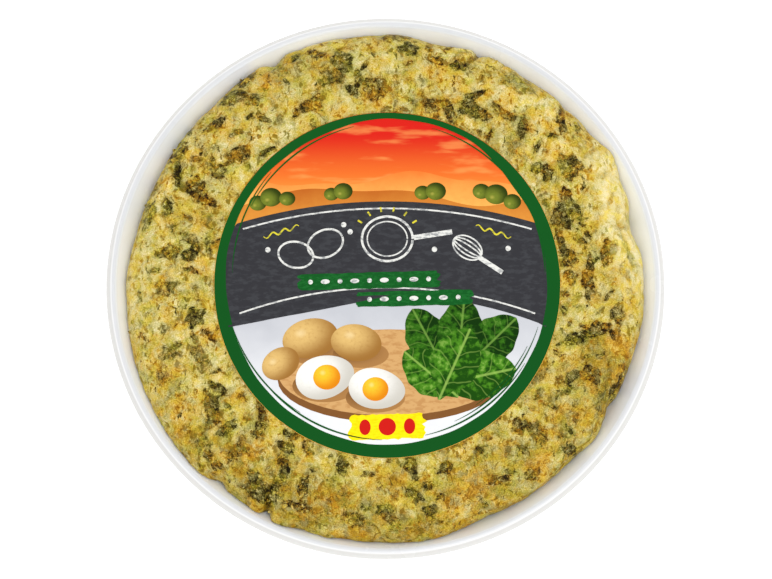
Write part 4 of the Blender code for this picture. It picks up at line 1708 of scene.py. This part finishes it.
    def layers(self) -> list[Layer]:
        """Everything that is printed, from the furthest back to the front."""
        flat, rounded, veined, rough = InkStyle
        chalk = ((232, 232, 226), (160, 162, 162))
        return [
            printed("table", 1, flat, ((196, 198, 204), (236, 237, 240)), self.table(), low=-50 * MM,
                    high=-8 * MM, mottle=0.05),
            printed("far_hills", 1, flat, ((236, 120, 48), (250, 186, 92)), self.hills(35.5, 2.2, 11, 0.6),
                    low=22 * MM, high=42 * MM),
            printed("near_hills", 2, flat, ((186, 92, 30), (226, 152, 62)), self.hills(30, 2.6, 15, 2.4),
                    low=18 * MM, high=36 * MM),
            printed("trees", 3, rounded, ((48, 62, 16), (120, 132, 44), (190, 180, 80)),
                    *(oval((x, y), size, 1.15 * size, 90) for x, y, size in TREES)),
            printed("board", 4, rough, ((54, 54, 58), (64, 65, 69)), self.board(), mottle=0, streak=1.6 * MM),
            printed("chalk", 5, rough, chalk, *self.chalk_drawing(), mottle=0),
            printed("straw", 5, rough, ((226, 214, 60), (150, 146, 60)), *self.straw_drawing(), mottle=0),
            printed("brush", 6, rough, ((20, 88, 34), (30, 104, 44)), brushed((-6, 1), 46, 5.6, 1.5, 3),
                    brushed((9, -5), 38, 5.2, 1.5, 4), mottle=0),
            printed("brush_dots", 7, rough, chalk, *self.dots(-26, 0.5, 9), *self.dots(-6, -5.4, 7),
                    mottle=0),
            printed("wood_edge", 2, flat, ((150, 104, 58), (128, 84, 44)), oval((1, -32.4), 38, 14.5)),
            printed("wood", 3, rough, ((212, 166, 108), (196, 146, 90)), oval((1, -30), 38, 14.5), mottle=0,
                    streak=1.5 * MM),
            printed("shade", 4, rounded, ((172, 124, 72), (118, 78, 38), (118, 78, 38)),
                    oval((-24, -22.5), 10.5, 5), oval((-9, -24), 9.5, 4.5), oval((-21, -34.5), 11, 5.5),
                    oval((-4, -38.5), 10, 5)),
            printed("potatoes", 5, rounded, ((160, 112, 52), (226, 188, 116), (246, 222, 168)),
                    oval((-26, -18.5), 9.5, 6.6, 12), oval((-10.5, -20), 8.6, 6.2, -8),
                    oval((-36, -27), 6.6, 5.2, 30)),
            printed("egg_white", 5, rounded, ((204, 200, 190), (252, 250, 244), (255, 255, 252)),
                    oval((-21, -31.5), 10, 7.2, 14, -0.1), oval((-3.5, -35.5), 9.6, 6.8, -8, -0.1)),
            printed("yolk", 6, rounded, ((226, 136, 20), (252, 200, 50), (255, 236, 150)),
                    oval((-20.4, -31.6), 4.6, 4.2), oval((-4, -35.6), 4.4, 4)),
            printed("back_leaves", 5, veined, ((18, 52, 10), (52, 106, 22), (122, 164, 70)),
                    blade((13.5, -18), 10.5, 7.4, 118), blade((36, -19), 10.5, 7.6, 44),
                    blade((25, -15.5), 10.5, 8, 84), mottle=0),
            printed("leaves", 6, veined, ((28, 74, 12), (74, 134, 30), (158, 196, 92)),
                    blade((32, -31), 11.5, 8.4, 12), blade((13.5, -29.5), 10, 7.4, 140),
                    blade((23.5, -25.5), 11, 8.6, 66), mottle=0),
            printed("tab", 5, rough, ((255, 232, 20), (250, 216, 10)), brushed((0, -48.2), 24, 8.6, 2, 8),
                    mottle=0),
            printed("tab_marks", 6, flat, ((206, 30, 24), (206, 30, 24)), oval((-7.5, -48.4), 1.9, 2.6),
                    oval((0, -48.2), 2.9, 2.9), oval((7.5, -48), 1.9, 2.6), mottle=0),
            Layer("print_bristle_lines", 7, self.ring_ink, self.bristle_lines()),
        ]

    @staticmethod
    def dots(start: float, height: float, count: int) -> list[Shape]:
        """A row of marks along a brushed bar, every other one longer."""
        return [oval((start + 5 * n, height + 0.13 * n), 1.5 if n % 2 else 0.8, 0.8, 1.5)
                for n in range(count)]

    def table(self) -> Shape:
        """The pale table: all of the label below the board's middle."""
        return Shape(tuple(polar(angle, self.print_side) for angle in np.linspace(172, 368, 71)))

    def chalk_drawing(self) -> tuple[Shape, ...]:
        """Rules along the board, a pan in the middle, eggs on one side and a whisk on the other."""
        shapes = [stroke(self.band_line(175.6, 49, 41), 0.55), stroke(self.band_line(148.6, 50, 41), 0.55)]
        shapes += [loop((0, 15.2), 8.6, 7.6, 0, 0.8), loop((0, 15.2), 6.8, 5.9, 0, 0.45)]
        shapes += [stroke(((9.0, 15.6), (14, 16.4), (22, 17.6)), 1.7)]
        shapes += [loop((-21, 13.6), 6.2, 4.6, 24, 0.7), loop((-31, 9.8), 6.0, 4.4, -12, 0.7)]
        shapes += [stroke(((31, 9.0), (35, 6.4), (39, 3.8)), 1.6)]
        shapes += [loop((27.2, 12.2), 5.4, width, -33, 0.5, 8, 352) for width in (0.9, 2.2, 3.6)]
        dots = ((-12.6, 17.6), (-14.8, 20.0), (-40.5, 11.5), (16, 11.6), (41, 12))
        shapes += [oval(spot, 0.9, 0.9) for spot in dots]
        return tuple(shapes)

    def straw_drawing(self) -> tuple[Shape, ...]:
        """Short strokes round the pan, and a wave on either side of the board."""
        shapes = []
        for angle in range(35, 146, 22):
            near, far = polar(angle, 10.4), polar(angle, 12.2)
            shapes.append(stroke(((near[0], 15.2 + near[1] * 0.9), (far[0], 15.2 + far[1] * 0.9)), 0.6))
        for side in (-1, 1):
            wave = [(side * (30 + 0.5 * n), 19.6 - 0.16 * n + 0.7 * math.sin(0.8 * n)) for n in range(25)]
            shapes.append(stroke(wave, 0.6, 0.6))
        return tuple(shapes)


@dataclass(frozen=True)
class CardFinish:
    """Coated card, printed all over with a sky from red above to gold."""

    gold: Colour = srgb(250, 190, 84)
    orange: Colour = srgb(240, 120, 44)
    red: Colour = srgb(218, 34, 24)
    cloud: Colour = srgb(252, 176, 96)
    to_orange: tuple[float, float] = (18 * MM, 38 * MM)
    to_red: tuple[float, float] = (32 * MM, 52 * MM)
    grain: float = 1.6 * MM
    shine: float = 0.06

    def material(self, effects: Effects) -> bpy.types.Material:
        """Make the printed card.

        Args:
            effects: The shared node groups.

        Returns:
            The material.
        """
        material, skin, place = new_material("printed_card")
        height = place.parts()[1]
        tone = height.ramp(*self.to_orange).mix(self.gold, self.orange)
        tone = height.ramp(*self.to_red).mix(tone, self.red)
        streaks = place.stretched(4, 0.22, 1, 1).clouds(3.6 * MM, 3)
        tone = streaks.ramp(0.52, 0.72, 0, 0.45).mix(tone, self.cloud)
        coat_card(skin, place.through(effects.grain, Size=self.grain)[0], tone, self.shine)
        return material


@dataclass(frozen=True)
class Studio:
    """A plain pale floor, soft light and the camera at the photograph's angle."""

    aim: tuple[float, float, float] = (0.17 * MM, -1.56 * MM, 15 * MM)
    elevation: float = math.radians(75.5)
    distance: float = 2.0
    lens: float = 274.2
    sensor_width: float = 36
    floor_size: float = 4.0
    floor_glow: float = 0.25
    key_place: tuple[float, float, float] = (0.30, -0.45, 1.35)
    key_size: float = 0.7
    key_power: float = 5.2
    surround: float = 0.97

    def build(self) -> None:
        """Make the floor, the light, the world and the camera."""
        self.floor()
        self.key_light()
        self.world()
        self.camera()

    def floor(self) -> None:
        """A white floor, a little uneven in tone and lit from below like a light table."""
        floor = add_start(bpy.ops.mesh.primitive_plane_add, "floor", size=self.floor_size)
        material, skin, place = new_material("floor_white")
        tone = place.clouds(0.3).mix((0.93, 0.93, 0.93), (0.96, 0.96, 0.96))
        feed(skin, {"Base Color": tone, "Roughness": 0.9, "Emission Color": (1, 1, 1),
                    "Emission Strength": self.floor_glow})
        floor.data.materials.append(material)

    def key_light(self) -> None:
        """A square soft light from the front right that faces the plate."""
        data = bpy.data.lights.new("key", "AREA")
        data.shape = "SQUARE"
        data.size = self.key_size
        data.energy = self.key_power
        lamp = add_object("key", data)
        lamp.location = self.key_place
        lamp.rotation_euler = (-Vector(self.key_place)).to_track_quat("-Z", "Y").to_euler()

    def world(self) -> None:
        """A bright even surround, as in a light tent."""
        world = bpy.data.worlds.new("surround")
        world.use_nodes = True
        feed(world.node_tree.nodes["Background"], {"Color": (1, 1, 1), "Strength": self.surround})
        bpy.context.scene.world = world
        bpy.context.scene.view_settings.view_transform = "Standard"

    def camera(self) -> None:
        """The camera, in front of the plate and high above it."""
        data = bpy.data.cameras.new("camera")
        data.lens = self.lens
        data.sensor_width = self.sensor_width
        camera = add_object("camera", data)
        back = Vector((0, -math.cos(self.elevation), math.sin(self.elevation)))
        camera.location = Vector(self.aim) + back * self.distance
        camera.rotation_euler = (-back).to_track_quat("-Z", "Y").to_euler()
        bpy.context.scene.camera = camera


def hand_over(piece: bpy.types.Object, material: bpy.types.Material, slot: str, *nodes: str) -> None:
    """Give a finished piece its material, attach it to the body and hide the solids that it stands for.

    Args:
        piece: The finished piece.
        material: Its material.
        slot: The record's material slot; not used.
        nodes: The solids that it stands for.
    """
    piece.data.materials.clear()
    piece.data.materials.append(material)
    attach(piece, BODY)
    if nodes:
        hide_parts(*nodes)
    LOG.info("%s: %d vertices", piece.name, len(piece.data.vertices))


def main() -> None:
    """Build every piece in order."""
    logging.basicConfig(level=logging.INFO, format="%(message)s")
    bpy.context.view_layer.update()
    noise.seed_set(NOISE_SEED)
    effects = Effects()
    plate_form = PlateForm()
    spinach = Spinach()

    plate = Plate(plate_form).build()
    hand_over(plate, PlasticFinish().material(effects), "plate_plastic", "plate")
    omelette_form = Omelette(plate_form, spinach)
    omelette = omelette_form.build()
    hand_over(omelette, EggFinish().material(effects), "omelette_food", "omelette")
    scraps = Scraps(spinach).build(omelette, omelette_form)
    hand_over(scraps, omelette.data.materials[0], "omelette_food")
    crumbs = Crumbs().build(omelette)
    hand_over(crumbs, omelette.data.materials[0], "omelette_food")

    label = Label(omelette_form)
    hand_over(label.build_card(), CardFinish().material(effects), "label_card", "label")
    for layer in label.layers():
        hand_over(label.build_layer(layer), layer.finish.material(effects), "label_card")
    hand_over(label.build_ring(), label.ring_ink.material(effects), "label_card")

    Studio().build()


if __name__ == "__main__":
    main()
